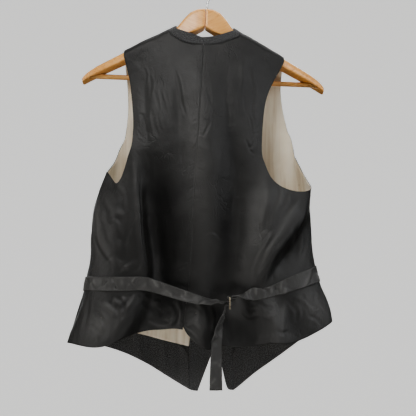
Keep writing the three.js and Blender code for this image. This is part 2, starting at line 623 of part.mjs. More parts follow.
// Buttons on the outer front, the wearer's left
const frontOuter = panels.frontLeft;
const edgeGuide = frontOuter.guideCount - 1;
buttonHeights.forEach((height, i) => {
  let low = 0;
  let high = topRow;
  const sample = (row) => {
    const edge = frontOuter.pointAt(edgeGuide, row);
    const inside = frontOuter.pointAt(edgeGuide - 1, row);
    const share = buttonFromEdge / edge.distanceTo(inside);
    return frontOuter.pointAt(edgeGuide - share, row);
  };
  for (let k = 0; k < 24; k += 1) {
    const middle = (low + high) / 2;
    if (sample(middle).z < height) low = middle;
    else high = middle;
  }
  const seat = sample(low);
  const up = sample(low + 0.1).sub(sample(low - 0.1));
  const across = frontOuter.pointAt(edgeGuide, low).sub(frontOuter.pointAt(edgeGuide - 0.6, low));
  const outward = up.cross(across).normalize();
  if (outward.y < 0) outward.negate();
  const profile = [
    [0, 0], [buttonRadius - 1, 0], [buttonRadius, 1], [buttonRadius, 2.1], [buttonRadius - 0.8, buttonThick],
    [buttonRadius - 2.2, buttonThick - 0.7], [0, buttonThick - 0.8],
  ].map(([x, y]) => new THREE.Vector2(x, y));
  const button = new THREE.LatheGeometry(profile, 12);
  button.deleteAttribute('normal');
  button.deleteAttribute('uv');
  const mesh = addMesh(`button_${i + 1}`, mergeVertices(button, 1e-4), blackHorn);
  mesh.quaternion.setFromUnitVectors(alongY, outward);
  mesh.position.copy(seat).addScaledVector(outward, buttonSink);
});

// Hanger arms: sections with a rounded crest, flat faces and a leaning lower edge
function armSection(side, { x, crest, lower, half, y }) {
  const roundRise = Math.min(half * 0.85, (crest - lower) * 0.6);
  const outline = [];
  const steps = 8;
  for (let k = 0; k <= steps; k += 1) {
    const angle = Math.PI * (1 - k / steps);
    outline.push([half * Math.cos(angle), roundRise * (Math.sin(angle) - 1)]);
  }
  const drop = lower - crest;
  const chamfer = 1.2;
  outline.push([half, drop + chamfer], [half - chamfer, drop], [chamfer - half, drop], [-half, drop + chamfer]);
  return outline.map(([v, w]) => tilted(side * x, y + v * Math.cos(lean) + w * Math.sin(lean),
    crest + w * Math.cos(lean) - v * Math.sin(lean)));
}

function hangerArm(side) {
  const rings = armSections.map((section) => armSection(side, section));
  const count = rings[0].length;
  const positions = rings.flat().flatMap((p) => p.toArray());
  const faces = [];
  const triangle = (a, b, c) => (side < 0 ? faces.push(a, c, b) : faces.push(a, b, c));
  for (let i = 0; i < rings.length - 1; i += 1) {
    for (let j = 0; j < count; j += 1) {
      const k = (j + 1) % count;
      const a = i * count;
      const b = a + count;
      triangle(a + j, b + j, b + k);
      triangle(a + j, b + k, a + k);
    }
  }
  const lastRing = (rings.length - 1) * count;
  for (let j = 1; j < count - 1; j += 1) {
    triangle(0, j, j + 1);
    triangle(lastRing, lastRing + j + 1, lastRing + j);
  }
  const geometry = new THREE.BufferGeometry();
  geometry.setAttribute('position', new THREE.Float32BufferAttribute(positions, 3));
  geometry.setIndex(faces);
  const barDirection = tilted(1, 0, barHeight).sub(tilted(0, 0, barHeight));
  const barMiddle = tilted(0, barDepth, barHeight);
  const bore = rod(barRadius + drillClearance, 2 * (barHalf + drillClearance), 16, barDirection, barMiddle);
  const stemMiddle = new THREE.Vector3(0, 0, stemEnd - drillClearance + stemHoleLength / 2);
  const stemHole = rod(wireRadius + drillClearance, stemHoleLength, 12, alongZ, stemMiddle);
  return toGeometry(toSolid(geometry).subtract(toSolid(bore)).subtract(toSolid(stemHole)));
}
addMesh('hanger_arm_left', hangerArm(-1), wood);
addMesh('hanger_arm_right', hangerArm(1), wood);
addMesh('hanger_bar', rod(barRadius, 2 * barHalf, 16, tilted(1, 0, barHeight).sub(tilted(0, 0, barHeight)),
  tilted(0, barDepth, barHeight)), wood);

// Hook: a straight stem, a short bend and an arc, as one wire swept with a round section
const arcStart = THREE.MathUtils.degToRad(-50);
const arcEnd = THREE.MathUtils.degToRad(205);
const arcPoint = (angle) => new THREE.Vector3(hookRadius * Math.cos(angle), 0,
  hookCentre + hookRadius * Math.sin(angle));
const stemPoints = [[0, 0, stemEnd], [0, 0, -74], [0.4, 0, -60], [4.5, 0, -48]];
const hookPoints = stemPoints.map(vector);
const arcSteps = 17;
for (let k = 0; k <= arcSteps; k += 1) {
  hookPoints.push(arcPoint(THREE.MathUtils.lerp(arcStart, arcEnd, k / arcSteps)));
}
const wireSection = new THREE.Shape();
wireSection.absarc(0, 0, wireRadius, 0, Math.PI * 2);
const hookPath = new THREE.CatmullRomCurve3(hookPoints);
addMesh('hanger_hook', new THREE.ExtrudeGeometry(wireSection, { extrudePath: hookPath, steps: 30, curveSegments: 4 }),
  steel);

export default waistcoat;
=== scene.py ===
import math
import random

import bmesh
import bpy
import numpy as np
from mathutils import Matrix, Vector, bvhtree, noise


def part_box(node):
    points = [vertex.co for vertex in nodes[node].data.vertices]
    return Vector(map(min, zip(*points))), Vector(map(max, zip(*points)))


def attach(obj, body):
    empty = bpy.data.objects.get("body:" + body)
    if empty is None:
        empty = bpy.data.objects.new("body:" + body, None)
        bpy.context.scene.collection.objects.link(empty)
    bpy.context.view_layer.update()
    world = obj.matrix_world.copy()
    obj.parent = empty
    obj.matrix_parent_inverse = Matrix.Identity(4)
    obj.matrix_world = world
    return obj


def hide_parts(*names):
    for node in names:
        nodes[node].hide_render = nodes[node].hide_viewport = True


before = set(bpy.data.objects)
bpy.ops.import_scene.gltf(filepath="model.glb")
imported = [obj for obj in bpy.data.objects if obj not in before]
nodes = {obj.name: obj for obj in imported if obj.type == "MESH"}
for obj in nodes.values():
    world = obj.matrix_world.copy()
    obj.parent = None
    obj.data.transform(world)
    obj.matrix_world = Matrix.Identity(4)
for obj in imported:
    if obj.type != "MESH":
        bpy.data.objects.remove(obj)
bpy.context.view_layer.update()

# A man's suit waistcoat on its wooden hanger, seen from the back.
# Sizes are in millimetres and turned to metres by mm.
mm = 0.001
collection = bpy.context.scene.collection
print("frame loaded:", len(nodes), "nodes")


# small helpers for shader nodes

def newMaterial(name):
    material = bpy.data.materials.new(name)
    material.use_nodes = True
    shader = material.node_tree.nodes["Principled BSDF"]
    return material, material.node_tree, shader


def setSockets(node, **sockets):
    for key, value in sockets.items():
        node.inputs[key.replace("_", " ")].default_value = value


def addNode(tree, kind, settings=None, **sockets):
    made = tree.nodes.new(kind)
    for key, value in (settings or {}).items():
        setattr(made, key, value)
    setSockets(made, **sockets)
    return made


def join(tree, source, output, target, socket):
    tree.links.new(source.outputs[output], target.inputs[socket])


def mathNode(tree, operation, first, second=None):
    made = addNode(tree, "ShaderNodeMath", {"operation": operation})
    for i, value in enumerate((first, second)):
        if value is None:
            continue
        if isinstance(value, (int, float)):
            made.inputs[i].default_value = value
        else:
            tree.links.new(value, made.inputs[i])
    return made.outputs[0]


def colourRamp(tree, factor, stops):
    ramp = addNode(tree, "ShaderNodeValToRGB")
    points = ramp.color_ramp.elements
    while len(points) < len(stops):
        points.new(0.5)
    for point, (place, colour) in zip(points, stops):
        point.position = place
        point.color = (*colour, 1)
    tree.links.new(factor, ramp.inputs["Fac"])
    return ramp.outputs["Color"]


def mixColours(tree, blend, factor, first, second):
    made = addNode(tree, "ShaderNodeMix", {"data_type": "RGBA", "blend_type": blend})
    if isinstance(factor, (int, float)):
        made.inputs["Factor"].default_value = factor
    else:
        tree.links.new(factor, made.inputs["Factor"])
    for socket, value in ((6, first), (7, second)):
        if isinstance(value, tuple):
            made.inputs[socket].default_value = (*value, 1)
        else:
            tree.links.new(value, made.inputs[socket])
    return made.outputs[2]


def bumpNode(tree, height, distance, strength=1.0, normal=None):
    made = addNode(tree, "ShaderNodeBump", Strength=strength, Distance=distance)
    tree.links.new(height, made.inputs["Height"])
    if normal:
        tree.links.new(normal, made.inputs["Normal"])
    return made.outputs["Normal"]


def noiseNode(tree, vector, scale, detail=3.0, roughness=0.55, distortion=0.0):
    made = addNode(tree, "ShaderNodeTexNoise", Scale=scale, Detail=detail, Roughness=roughness,
                   Distortion=distortion)
    tree.links.new(vector, made.inputs["Vector"])
    return made.outputs["Fac"]


def shaded(tree, base, factor, share, stops):
    # a colour made darker and lighter by a ramp over factor
    return mixColours(tree, "MULTIPLY", share, base, colourRamp(tree, factor, stops))


def unevenRoughness(tree, shader, vector, scale, detail, span):
    low, high = span
    spread = mathNode(tree, "MULTIPLY", noiseNode(tree, vector, scale, detail), high - low)
    tree.links.new(mathNode(tree, "ADD", spread, low), shader.inputs["Roughness"])


def threads(tree, axis, pitch):
    angle = mathNode(tree, "MULTIPLY", axis, 2 * math.pi / pitch)
    return mathNode(tree, "SINE", angle)


def clothAxes(tree):
    # across and along the grain, in metres on the flat cut
    place = addNode(tree, "ShaderNodeUVMap", {"uv_map": "cut"})
    split = addNode(tree, "ShaderNodeSeparateXYZ")
    join(tree, place, "UV", split, "Vector")
    return place.outputs["UV"], split.outputs["X"], split.outputs["Y"]


def stretched(tree, vector, across, along):
    made = addNode(tree, "ShaderNodeMapping", Scale=(across, along, 1))
    tree.links.new(vector, made.inputs["Vector"])
    return made.outputs["Vector"]


# The satin's pale colour is mixed in by a point attribute: an even paleness, paler ridges, and on the back painted
# light and shade laid in bands.
satin = {
    "dark": (0.0045, 0.0044, 0.0043), "light": (0.0115, 0.0113, 0.0109), "wearAndPaintedLight": (0.115, 0.114, 0.111),
    "roughness": (0.37, 0.50), "paleness": 0.14, "sheen": 0.05, "sheenRoughness": 0.35,
    "threadPitch": 0.00042, "threadRelief": 0.000022, "crumpleRelief": 0.00030, "crumpleScale": 95,
    "crinkleRelief": 0.00040, "specular": 0.40, "sheenTint": (0.75, 0.73, 0.70, 1), "cloudScale": 9, "roughScale": 22,
    "slub": (900, 45), "crinkle": (46, 24), "crinklePatches": 13,
}


def satinMaterial():
    material, tree, shader = newMaterial("polishedCottonBack")
    vector, across, along = clothAxes(tree)
    cloud = noiseNode(tree, vector, satin["cloudScale"], 4)
    base = colourRamp(tree, cloud, [(0.34, satin["dark"]), (0.68, satin["light"])])
    slub = noiseNode(tree, stretched(tree, vector, *satin["slub"]), 1, 2)
    base = shaded(tree, base, slub, 0.5, [(0.3, (0.72,) * 3), (0.7, (1.25,) * 3)])
    # paler by a point attribute, which holds painted light and shade in bands on the back as well as an even paleness
    # and paler ridges
    wearAndPaintedLight = addNode(tree, "ShaderNodeAttribute", {"attribute_name": "wearAndPaintedLight"})
    base = mixColours(tree, "MIX", wearAndPaintedLight.outputs["Fac"], base, satin["wearAndPaintedLight"])
    tree.links.new(base, shader.inputs["Base Color"])
    unevenRoughness(tree, shader, vector, satin["roughScale"], 5, satin["roughness"])
    setSockets(shader, Specular_IOR_Level=satin["specular"], Sheen_Weight=satin["sheen"],
               Sheen_Roughness=satin["sheenRoughness"], Sheen_Tint=satin["sheenTint"])
    warp = threads(tree, across, satin["threadPitch"])
    weft = threads(tree, along, satin["threadPitch"] * 1.5)
    weave = mathNode(tree, "ADD", warp, mathNode(tree, "MULTIPLY", weft, 0.4))
    crumple = noiseNode(tree, vector, satin["crumpleScale"], 5, 0.62, 1.6)
    fine = noiseNode(tree, stretched(tree, vector, *satin["crinkle"]), 1, 2, 0.5, 0.9)
    line = mathNode(tree, "ABSOLUTE", mathNode(tree, "SUBTRACT", fine, 0.5))
    crinkle = colourRamp(tree, line, [(0.0, (0, 0, 0)), (0.035, (1, 1, 1))])
    patchy = noiseNode(tree, vector, satin["crinklePatches"], 2)
    patches = colourRamp(tree, patchy, [(0.50, (0, 0, 0)), (0.62, (1, 1, 1))])
    normal = bumpNode(tree, mixColours(tree, "MIX", patches, (1, 1, 1), crinkle), satin["crinkleRelief"], 0.9)
    normal = bumpNode(tree, crumple, satin["crumpleRelief"], 1.0, normal)
    normal = bumpNode(tree, weave, satin["threadRelief"], 0.6, normal)
    tree.links.new(normal, shader.inputs["Normal"])
    return material


wool = {
    "dark": (0.012, 0.0121, 0.0125), "light": (0.175, 0.176, 0.178), "fibre": (0.42, 0.41, 0.40),
    "grainScale": 620, "roughness": 0.86, "sheen": 0.35, "twillPitch": 0.0011, "twillRelief": 0.00016,
    "napRelief": 0.0005, "specular": 0.25, "sheenTint": (0.6, 0.6, 0.62, 1), "patchScale": 26,
    "fibres": (1500, 420), "fibreShare": 0.55,
}


def woolMaterial():
    material, tree, shader = newMaterial("worstedWool")
    vector, across, along = clothAxes(tree)
    grain = noiseNode(tree, vector, wool["grainScale"], 4, 0.75)
    base = colourRamp(tree, grain, [(0.40, wool["dark"]), (0.66, wool["light"])])
    patch = noiseNode(tree, vector, wool["patchScale"], 3)
    base = shaded(tree, base, patch, 0.3, [(0.3, (0.7,) * 3), (0.7, (1.3,) * 3)])
    fibre = noiseNode(tree, stretched(tree, vector, *wool["fibres"]), 1, 2)
    strand = colourRamp(tree, fibre, [(0.70, (0, 0, 0)), (0.76, (1, 1, 1))])
    share = mathNode(tree, "MULTIPLY", strand, wool["fibreShare"])
    base = mixColours(tree, "MIX", share, base, wool["fibre"])
    tree.links.new(base, shader.inputs["Base Color"])
    setSockets(shader, Roughness=wool["roughness"], Specular_IOR_Level=wool["specular"],
               Sheen_Weight=wool["sheen"], Sheen_Roughness=0.5, Sheen_Tint=wool["sheenTint"])
    twill = threads(tree, mathNode(tree, "ADD", across, along), wool["twillPitch"])
    normal = bumpNode(tree, grain, wool["napRelief"], 0.8)
    normal = bumpNode(tree, twill, wool["twillRelief"], 0.5, normal)
    tree.links.new(normal, shader.inputs["Normal"])
    return material


lining = {
    "shade": (0.74, 0.62, 0.46), "light": (0.96, 0.88, 0.735), "palest": (0.96, 0.90, 0.79),
    "stain": (0.34, 0.22, 0.12), "roughness": (0.40, 0.58), "twillPitch": 0.0006, "twillRelief": 0.00006,
    "streakRelief": 0.0004, "streaks": (75, 5), "cloudScale": 11, "speckScale": 85, "speckShare": 0.55,
    "sheen": 0.15, "roughScale": 30,
}


def liningMaterial():
    material, tree, shader = newMaterial("creamSateen")
    vector, across, along = clothAxes(tree)
    streak = noiseNode(tree, stretched(tree, vector, *lining["streaks"]), 1, 4, 0.6, 0.5)
    stops = [(0.30, lining["shade"]), (0.55, lining["light"]), (0.80, lining["palest"])]
    base = colourRamp(tree, streak, stops)
    cloud = noiseNode(tree, vector, lining["cloudScale"], 3)
    base = shaded(tree, base, cloud, 0.7, [(0.32, (0.86, 0.82, 0.74)), (0.62, (1,) * 3)])
    grit = noiseNode(tree, vector, lining["speckScale"], 1)
    speck = colourRamp(tree, grit, [(0.745, (0, 0, 0)), (0.775, (1, 1, 1))])
    share = mathNode(tree, "MULTIPLY", speck, lining["speckShare"])
    base = mixColours(tree, "MIX", share, base, lining["stain"])
    tree.links.new(base, shader.inputs["Base Color"])
    unevenRoughness(tree, shader, vector, lining["roughScale"], 4, lining["roughness"])
    setSockets(shader, Sheen_Weight=lining["sheen"], Sheen_Roughness=0.4)
    slanted = mathNode(tree, "ADD", across, mathNode(tree, "MULTIPLY", along, 0.6))
    twill = threads(tree, slanted, lining["twillPitch"])
    normal = bumpNode(tree, streak, lining["streakRelief"], 0.8)
    normal = bumpNode(tree, twill, lining["twillRelief"], 0.6, normal)
    tree.links.new(normal, shader.inputs["Normal"])
    return material


varnish = {
    "pale": (0.98, 0.57, 0.215), "mid": (0.95, 0.49, 0.16), "dark": (0.68, 0.29, 0.085),
    "grainAcross": 210, "grainAlong": 9, "roughness": 0.26, "knocks": 0.22,
    "coat": 0.45, "coatRoughness": 0.18,
}


def woodMaterial(name, slope):
    # slope turns the grain to run along an arm
    material, tree, shader = newMaterial(name)
    place = addNode(tree, "ShaderNodeTexCoord")
    turn = addNode(tree, "ShaderNodeMapping", Rotation=(0, math.radians(slope), 0))
    join(tree, place, "Object", turn, "Vector")
    fine = varnish["grainAcross"]
    run = addNode(tree, "ShaderNodeMapping", Scale=(varnish["grainAlong"], fine, fine))
    join(tree, turn, "Vector", run, "Vector")
    grain = noiseNode(tree, run.outputs["Vector"], 1, 5, 0.6, 0.9)
    broad = noiseNode(tree, stretched(tree, turn.outputs["Vector"], 4, 40), 1, 3)
    base = colourRamp(tree, grain, [(0.28, varnish["dark"]), (0.46, varnish["mid"]), (0.66, varnish["pale"])])
    base = shaded(tree, base, broad, 0.7, [(0.3, (0.78, 0.70, 0.62)), (0.65, (1,) * 3)])
    tree.links.new(base, shader.inputs["Base Color"])
    knock = noiseNode(tree, place.outputs["Object"], 38, 4)
    wearAndPaintedLight = mathNode(tree, "MULTIPLY", knock, varnish["knocks"])
    tree.links.new(mathNode(tree, "ADD", wearAndPaintedLight, varnish["roughness"]), shader.inputs["Roughness"])
    setSockets(shader, Coat_Weight=varnish["coat"], Coat_Roughness=varnish["coatRoughness"])
    tree.links.new(bumpNode(tree, grain, 0.00012, 0.5), shader.inputs["Normal"])
    return material


def metalMaterial(name, bright, dull, roughness):
    material, tree, shader = newMaterial(name)
    place = addNode(tree, "ShaderNodeTexCoord")
    rub = noiseNode(tree, place.outputs["Object"], 240, 4)
    base = colourRamp(tree, rub, [(0.35, dull), (0.62, bright)])
    tree.links.new(base, shader.inputs["Base Color"])
    setSockets(shader, Metallic=1.0)
    uneven = mathNode(tree, "MULTIPLY", rub, 0.3)
    tree.links.new(mathNode(tree, "ADD", uneven, roughness), shader.inputs["Roughness"])
    tree.links.new(bumpNode(tree, rub, 0.00003, 0.4), shader.inputs["Normal"])
    return material


def hornMaterial():
    material, tree, shader = newMaterial("blackHorn")
    place = addNode(tree, "ShaderNodeTexCoord")
    swirl = noiseNode(tree, place.outputs["Object"], 160, 4, 0.6, 2.0)
    base = colourRamp(tree, swirl, [(0.35, (0.008, 0.007, 0.006)), (0.70, (0.035, 0.027, 0.020))])
    tree.links.new(base, shader.inputs["Base Color"])
    setSockets(shader, Roughness=0.24)
    return material


def threadMaterial(name, colour):
    material, tree, shader = newMaterial(name)
    place = addNode(tree, "ShaderNodeTexCoord")
    ply = noiseNode(tree, place.outputs["Object"], 1800, 2)
    base = colourRamp(tree, ply, [(0.3, tuple(c * 0.6 for c in colour)), (0.7, colour)])
    tree.links.new(base, shader.inputs["Base Color"])
    setSockets(shader, Roughness=0.6, Sheen_Weight=0.3)
    return material


materials = {
    "satin": satinMaterial(),
    "wool": woolMaterial(),
    "lining": liningMaterial(),
    "button": hornMaterial(),
    "buckle": metalMaterial("agedBrass", (0.66, 0.58, 0.44), (0.22, 0.18, 0.12), 0.22),
    "hook": metalMaterial("polishedSteel", (0.62, 0.62, 0.61), (0.48, 0.48, 0.48), 0.08),
    "thread": threadMaterial("blackThread", (0.045, 0.043, 0.041)),
}
print("materials made")


# cloth: one face of each solid's wall, subdivided, creased and given its thickness

def runOperator(piece, operator, **options):
    bpy.ops.object.select_all(action="DESELECT")
    piece.select_set(True)
    bpy.context.view_layer.objects.active = piece
    operator(**options)


def newPiece(name, bm, slotName, material=None):
    mesh = bpy.data.meshes.new(name)
    bm.to_mesh(mesh)
    bm.free()
    piece = bpy.data.objects.new(name, mesh)
    collection.objects.link(piece)
    mesh.materials.append(material or materials[slotName])
    mesh.shade_smooth()
    return piece


def outerFace(nodeName, wall, outward):
    bm = bmesh.new()
    bm.from_mesh(nodes[nodeName].data)
    bmesh.ops.remove_doubles(bm, verts=bm.verts, dist=1e-5)
    rim = [f for f in bm.faces if any(abs(e.calc_length() - wall * mm) < 1e-5 for e in f.edges)]
    bmesh.ops.delete(bm, geom=rim, context="FACES")
    seen = set()
    sheets = []
    for start in bm.faces:
        if start in seen:
            continue
        seen.add(start)
        sheet = [start]
        for face in sheet:
            for edge in face.edges:
                for other in edge.link_faces:
                    if other not in seen:
                        seen.add(other)
                        sheet.append(other)
        sheets.append(sheet)
    lean = [sum((f.normal * f.calc_area() for f in s), Vector()).dot(Vector(outward)) for s in sheets]
    keep = set(sheets[lean.index(max(lean))])
    bmesh.ops.delete(bm, geom=[f for f in bm.faces if f not in keep], context="FACES")
    bmesh.ops.join_triangles(bm, faces=bm.faces, angle_face_threshold=math.pi, angle_shape_threshold=math.pi)
    return bm


def subdivide(piece, levels):
    finer = piece.modifiers.new("finer", "SUBSURF")
    finer.levels = finer.render_levels = levels
    finer.boundary_smooth = "PRESERVE_CORNERS"
    finer.uv_smooth = "NONE"
    runOperator(piece, bpy.ops.object.modifier_apply, modifier="finer")


def readCut(mesh):
    # each face corner's place on the flat cut, and the point that it belongs to
    cut = np.empty(len(mesh.loops) * 2)
    mesh.uv_layers["cut"].data.foreach_get("uv", cut)
    corner = np.empty(len(mesh.loops), int)
    mesh.loops.foreach_get("vertex_index", corner)
    return cut.reshape(-1, 2), corner


def layFlat(piece, grain):
    # unwraps the sheet to its flat cut in metres and returns its width, length and area
    piece.data.uv_layers.new(name="cut")
    runOperator(piece, bpy.ops.object.mode_set, mode="EDIT")
    bpy.ops.mesh.select_all(action="SELECT")
    bpy.ops.uv.unwrap(method="ANGLE_BASED", margin=0)
    bpy.ops.object.mode_set(mode="OBJECT")
    mesh = piece.data
    cut, corner = readCut(mesh)
    points = meshPoints(mesh)[corner]
    flatArea = 0
    for face in mesh.polygons:
        ring = cut[list(face.loop_indices)]
        after = np.roll(ring, -1, axis=0)
        flatArea += abs((ring[:, 0] * after[:, 1] - ring[:, 1] * after[:, 0]).sum()) / 2
    area = sum(f.area for f in mesh.polygons)
    cut = (cut - cut.mean(0)) * math.sqrt(area / flatArea)
    height = points @ np.array(grain, float)
    rise = np.linalg.lstsq(cut, height - height.mean(), rcond=None)[0]
    up = rise / np.linalg.norm(rise)
    cut = cut @ np.array([[up[1], up[0]], [-up[0], up[1]]])
    mesh.uv_layers["cut"].data.foreach_set("uv", cut.ravel())
    width, length = cut.max(0) - cut.min(0)
    return float(width), float(length), float(area)


def meshPoints(mesh):
    points = np.empty(len(mesh.vertices) * 3)
    mesh.vertices.foreach_get("co", points)
    return points.reshape(-1, 3)


def meshNormals(mesh):
    normals = np.empty(len(mesh.vertices) * 3)
    mesh.vertices.foreach_get("normal", normals)
    return normals.reshape(-1, 3)


# Every sheet of the body: its wall, the way its outer face looks, how fine it gets and its cloth
front = (0, 1, 0)
rear = (0, -1, 0)
sheetKinds = {
    "satinBack": ("back", 1.2, rear, 3, "satin"),
    "woolFront": ("front", 1.2, front, 2, "wool"),
    "backLining": ("back_lining", 1.0, rear, 2, "lining"),
    "frontLining": ("front_lining", 1.0, front, 3, "lining"),
    "edgeFacing": ("edge_facing", 1.0, front, 3, "wool"),
    "hemFacing": ("hem_facing", 1.0, front, 3, "wool"),
    "neckBand": ("neck_band", 1.5, rear, 3, "wool"),
}
strapKinds = {"waistStrap": ("strap", 1.8, rear, 3, "satin")}


def bothSides(kinds):
    made = {}
    for name, (node, wall, outward, levels, slot) in kinds.items():
        for side in ("Left", "Right"):
            made[name + side] = {"node": node + "_" + side.lower(), "wall": wall, "outward": outward,
                                 "levels": levels, "slot": slot}
    return made


bodySheets = bothSides(sheetKinds)
strapSheets = bothSides(strapKinds)
cuts = {}


def walkRim(start, second):
    side = [start, second]
    while len(side[-1].link_edges) > 2:
        ahead = [e.other_vert(side[-1]) for e in side[-1].link_edges if e.is_boundary]
        side.append(next(v for v in ahead if v not in side))
    return side


def measureStrip(bm):
    # lays a strap out straight: its long sides, walked from the side seam, give place across and along
    cut = bm.loops.layers.uv.new("cut")
    first = max((v for v in bm.verts if len(v.link_edges) == 2), key=lambda v: abs(v.co.x))
    endRow, side = sorted((walkRim(first, e.other_vert(first)) for e in first.link_edges), key=len)
    corner = endRow[-1]
    onwards = (e.other_vert(corner) for e in corner.link_edges)
    facing = walkRim(corner, next(v for v in onwards if v not in endRow))
    along = 0
    places = {}
    before = (side[0].co, facing[0].co)
    for a, b in zip(side, facing):
        along += ((a.co - before[0]).length + (b.co - before[1]).length) / 2
        before = (a.co, b.co)
        middle = min(bm.verts, key=lambda v: (v.co - (a.co + b.co) / 2).length)
        half = (a.co - b.co).length / 2
        places[a], places[middle], places[b] = (-half, along), (0, along), (half, along)
    for face in bm.faces:
        for loop in face.loops:
            loop[cut].uv = places.get(loop.vert, (0, along))
    return 2 * half, along, sum(f.calc_area() for f in bm.faces)


def startSheet(name, values, isStrap=False):
    bm = outerFace(values["node"], values["wall"], values["outward"])
    if isStrap:
        wide, along, area = measureStrip(bm)
        cuts[name] = (area / along * 1.002, along, area)
    piece = newPiece(name, bm, values["slot"])
    subdivide(piece, 1)
    if not isStrap:
        cuts[name] = layFlat(piece, (0, 0, 1))
    if values["levels"] > 1:
        subdivide(piece, values["levels"] - 1)
    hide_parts(values["node"])
    return piece


sheets = {name: startSheet(name, values) for name, values in bodySheets.items()}
straps = {name: startSheet(name, values, True) for name, values in strapSheets.items()}
print("sheets cut:", {name: tuple(round(v, 4) for v in cut) for name, cut in cuts.items()})


def surfaceTree(names):
    whole = bmesh.new()
    for name in names:
        whole.from_mesh(sheets[name].data)
    tree = bvhtree.BVHTree.FromBMesh(whole)
    whole.free()
    return tree


shellTree = surfaceTree(["satinBackLeft", "satinBackRight", "woolFrontLeft", "woolFrontRight"])
lookFrom = {
    "rear": Vector((0, -1, 0)), "front": Vector((0, 1, 0)),
    "left": Vector((-1, 0, 0)), "right": Vector((1, 0, 0)),
}


def smoothPath(points, step):
    # Catmull-Rom line through points of (across, height), with a sample every step
    ends = [points[0], *points, points[-1]]
    line = []
    for before, a, b, after in zip(ends, ends[1:], ends[2:], ends[3:]):
        before, a, b, after = (np.array(p, float) for p in (before, a, b, after))
        count = max(2, int(np.linalg.norm(b - a) / step))
        for t in np.arange(count) / count:
            line.append(0.5 * (2 * a + (b - before) * t + (2 * before - 5 * a + 4 * b - after) * t * t
                               + (3 * a - before - 3 * b + after) * t ** 3))
    line.append(np.array(points[-1], float))
    return line


def onCloth(across, height, side):
    away = lookFrom[side]
    if side in ("rear", "front"):
        start = Vector((across * mm, 0, height * mm)) + away * 0.4
    else:
        start = Vector((0, across * mm, height * mm)) + away * 0.5
    return shellTree.ray_cast(start, -away)


def crease(path, width, depth, lean=0.0, side="rear"):
    # depth below 0 is a trough and above 0 a ridge; lean makes one bank higher than the other
    samples = []
    for across, height in smoothPath(path, max(1.5, width * 0.4)):
        point, normal, _, _ = onCloth(across, height, side)
        if point is not None:
            samples.append((point, normal))
    if len(samples) < 3:
        return None
    points = np.array([p for p, _ in samples])
    normals = np.array([n for _, n in samples])
    tangents = np.gradient(points, axis=0)
    tangents /= np.linalg.norm(tangents, axis=1)[:, None] + 1e-9
    return {"points": points, "sides": np.cross(normals, tangents), "width": width * mm, "depth": depth * mm,
            "lean": lean, "fade": np.sin(np.linspace(0, math.pi, len(points))) ** 0.6}


def creaseLift(points, creases):
    lift = np.zeros(len(points))
    for fold in creases:
        reach = 2.6 * fold["width"]
        low = fold["points"].min(0) - reach
        high = fold["points"].max(0) + reach
        near = np.nonzero(((points > low) & (points < high)).all(1))[0]
        if len(near) == 0:
            continue
        gap = points[near, None, :] - fold["points"][None, :, :]
        distance = np.linalg.norm(gap, axis=2)
        closest = distance.argmin(1)
        rows = np.arange(len(near))
        across = (gap[rows, closest] * fold["sides"][closest]).sum(1)
        s = distance[rows, closest] / fold["width"]
        signed = np.clip(across / fold["width"], -3, 3)
        centre = np.exp(-2.2 * s * s) - 0.35 * np.exp(-3.0 * (s - 1.25) ** 2)
        bank = 1.6 * signed * np.exp(-1.3 * s * s)
        shape = (1 - abs(fold["lean"])) * centre + fold["lean"] * bank
        lift[near] += fold["depth"] * shape * fold["fade"][closest]
    return lift


# The broad hang of the back, which satin and lining follow alike. A row is a fold's width and depth,
# then its path as (across, height) from the hook
broadFolds = [
    (28, 6.0, (-146, -380), (-156, -440), (-160, -510), (-152, -570)),
    (34, 8.0, (-8, -165), (-4, -240), (4, -340), (9, -420), (10, -500), (8, -590)),
    (22, -6.0, (40, -250), (46, -340), (50, -420), (51, -500), (50, -590)),
    (24, 5.0, (98, -345), (106, -420), (104, -490), (92, -565)),
    (14, -2.6, (-58, -172), (-50, -230), (-46, -320), (-46, -360)),
    (12, -2.2, (-112, -200), (-108, -260), (-104, -330)),
    (14, -2.2, (34, -170), (34, -240), (36, -330)),
    (8, 1.8, (60, -168), (64, -200), (62, -232)),
    (6, 1.6, (80, -176), (86, -222), (84, -262), (82, -300), (78, -340)),
    (26, -5.0, (-92, -340), (-86, -420), (-80, -500), (-80, -580)),
]
# Paler and darker zones of the back, laid to follow the light and dark that the photo shows there.
# They are shading put into the colour. A row is a zone's width and tone, then its path
toneBands = [
    (32, 0.26, (-30, -140), (-26, -230), (-20, -330), (-10, -420), (-4, -500), (-2, -600)),
    (26, 0.34, (104, -320), (96, -370), (84, -430), (78, -500), (66, -590)),
    (19, -0.25, (42, -230), (36, -330), (31, -420), (32, -500), (26, -600)),
    (42, -0.25, (-84, -330), (-76, -440), (-70, -500), (-76, -640)),
    (34, 0.22, (-196, -400), (-192, -480), (-180, -560)),
    (30, 0.15, (168, -380), (130, -410), (104, -470)),
    (34, 0.37, (-216, -620), (-184, -640), (-150, -600)),
    (34, 0.31, (206, -640), (180, -600), (150, -590)),
    (20, 0.31, (104, -560), (116, -620), (122, -690)),
    (24, 0.22, (-30, -570), (-14, -620), (-20, -680)),
    (10, 0.30, (176, -392), (148, -440), (118, -490), (92, -540), (76, -570)),
    (11, -0.30, (190, -420), (160, -470), (128, -516), (100, -556), (84, -580)),
    (6, 0.12, (-126, -345), (-124, -390), (-119, -450), (-114, -508), (-108, -560)),
]
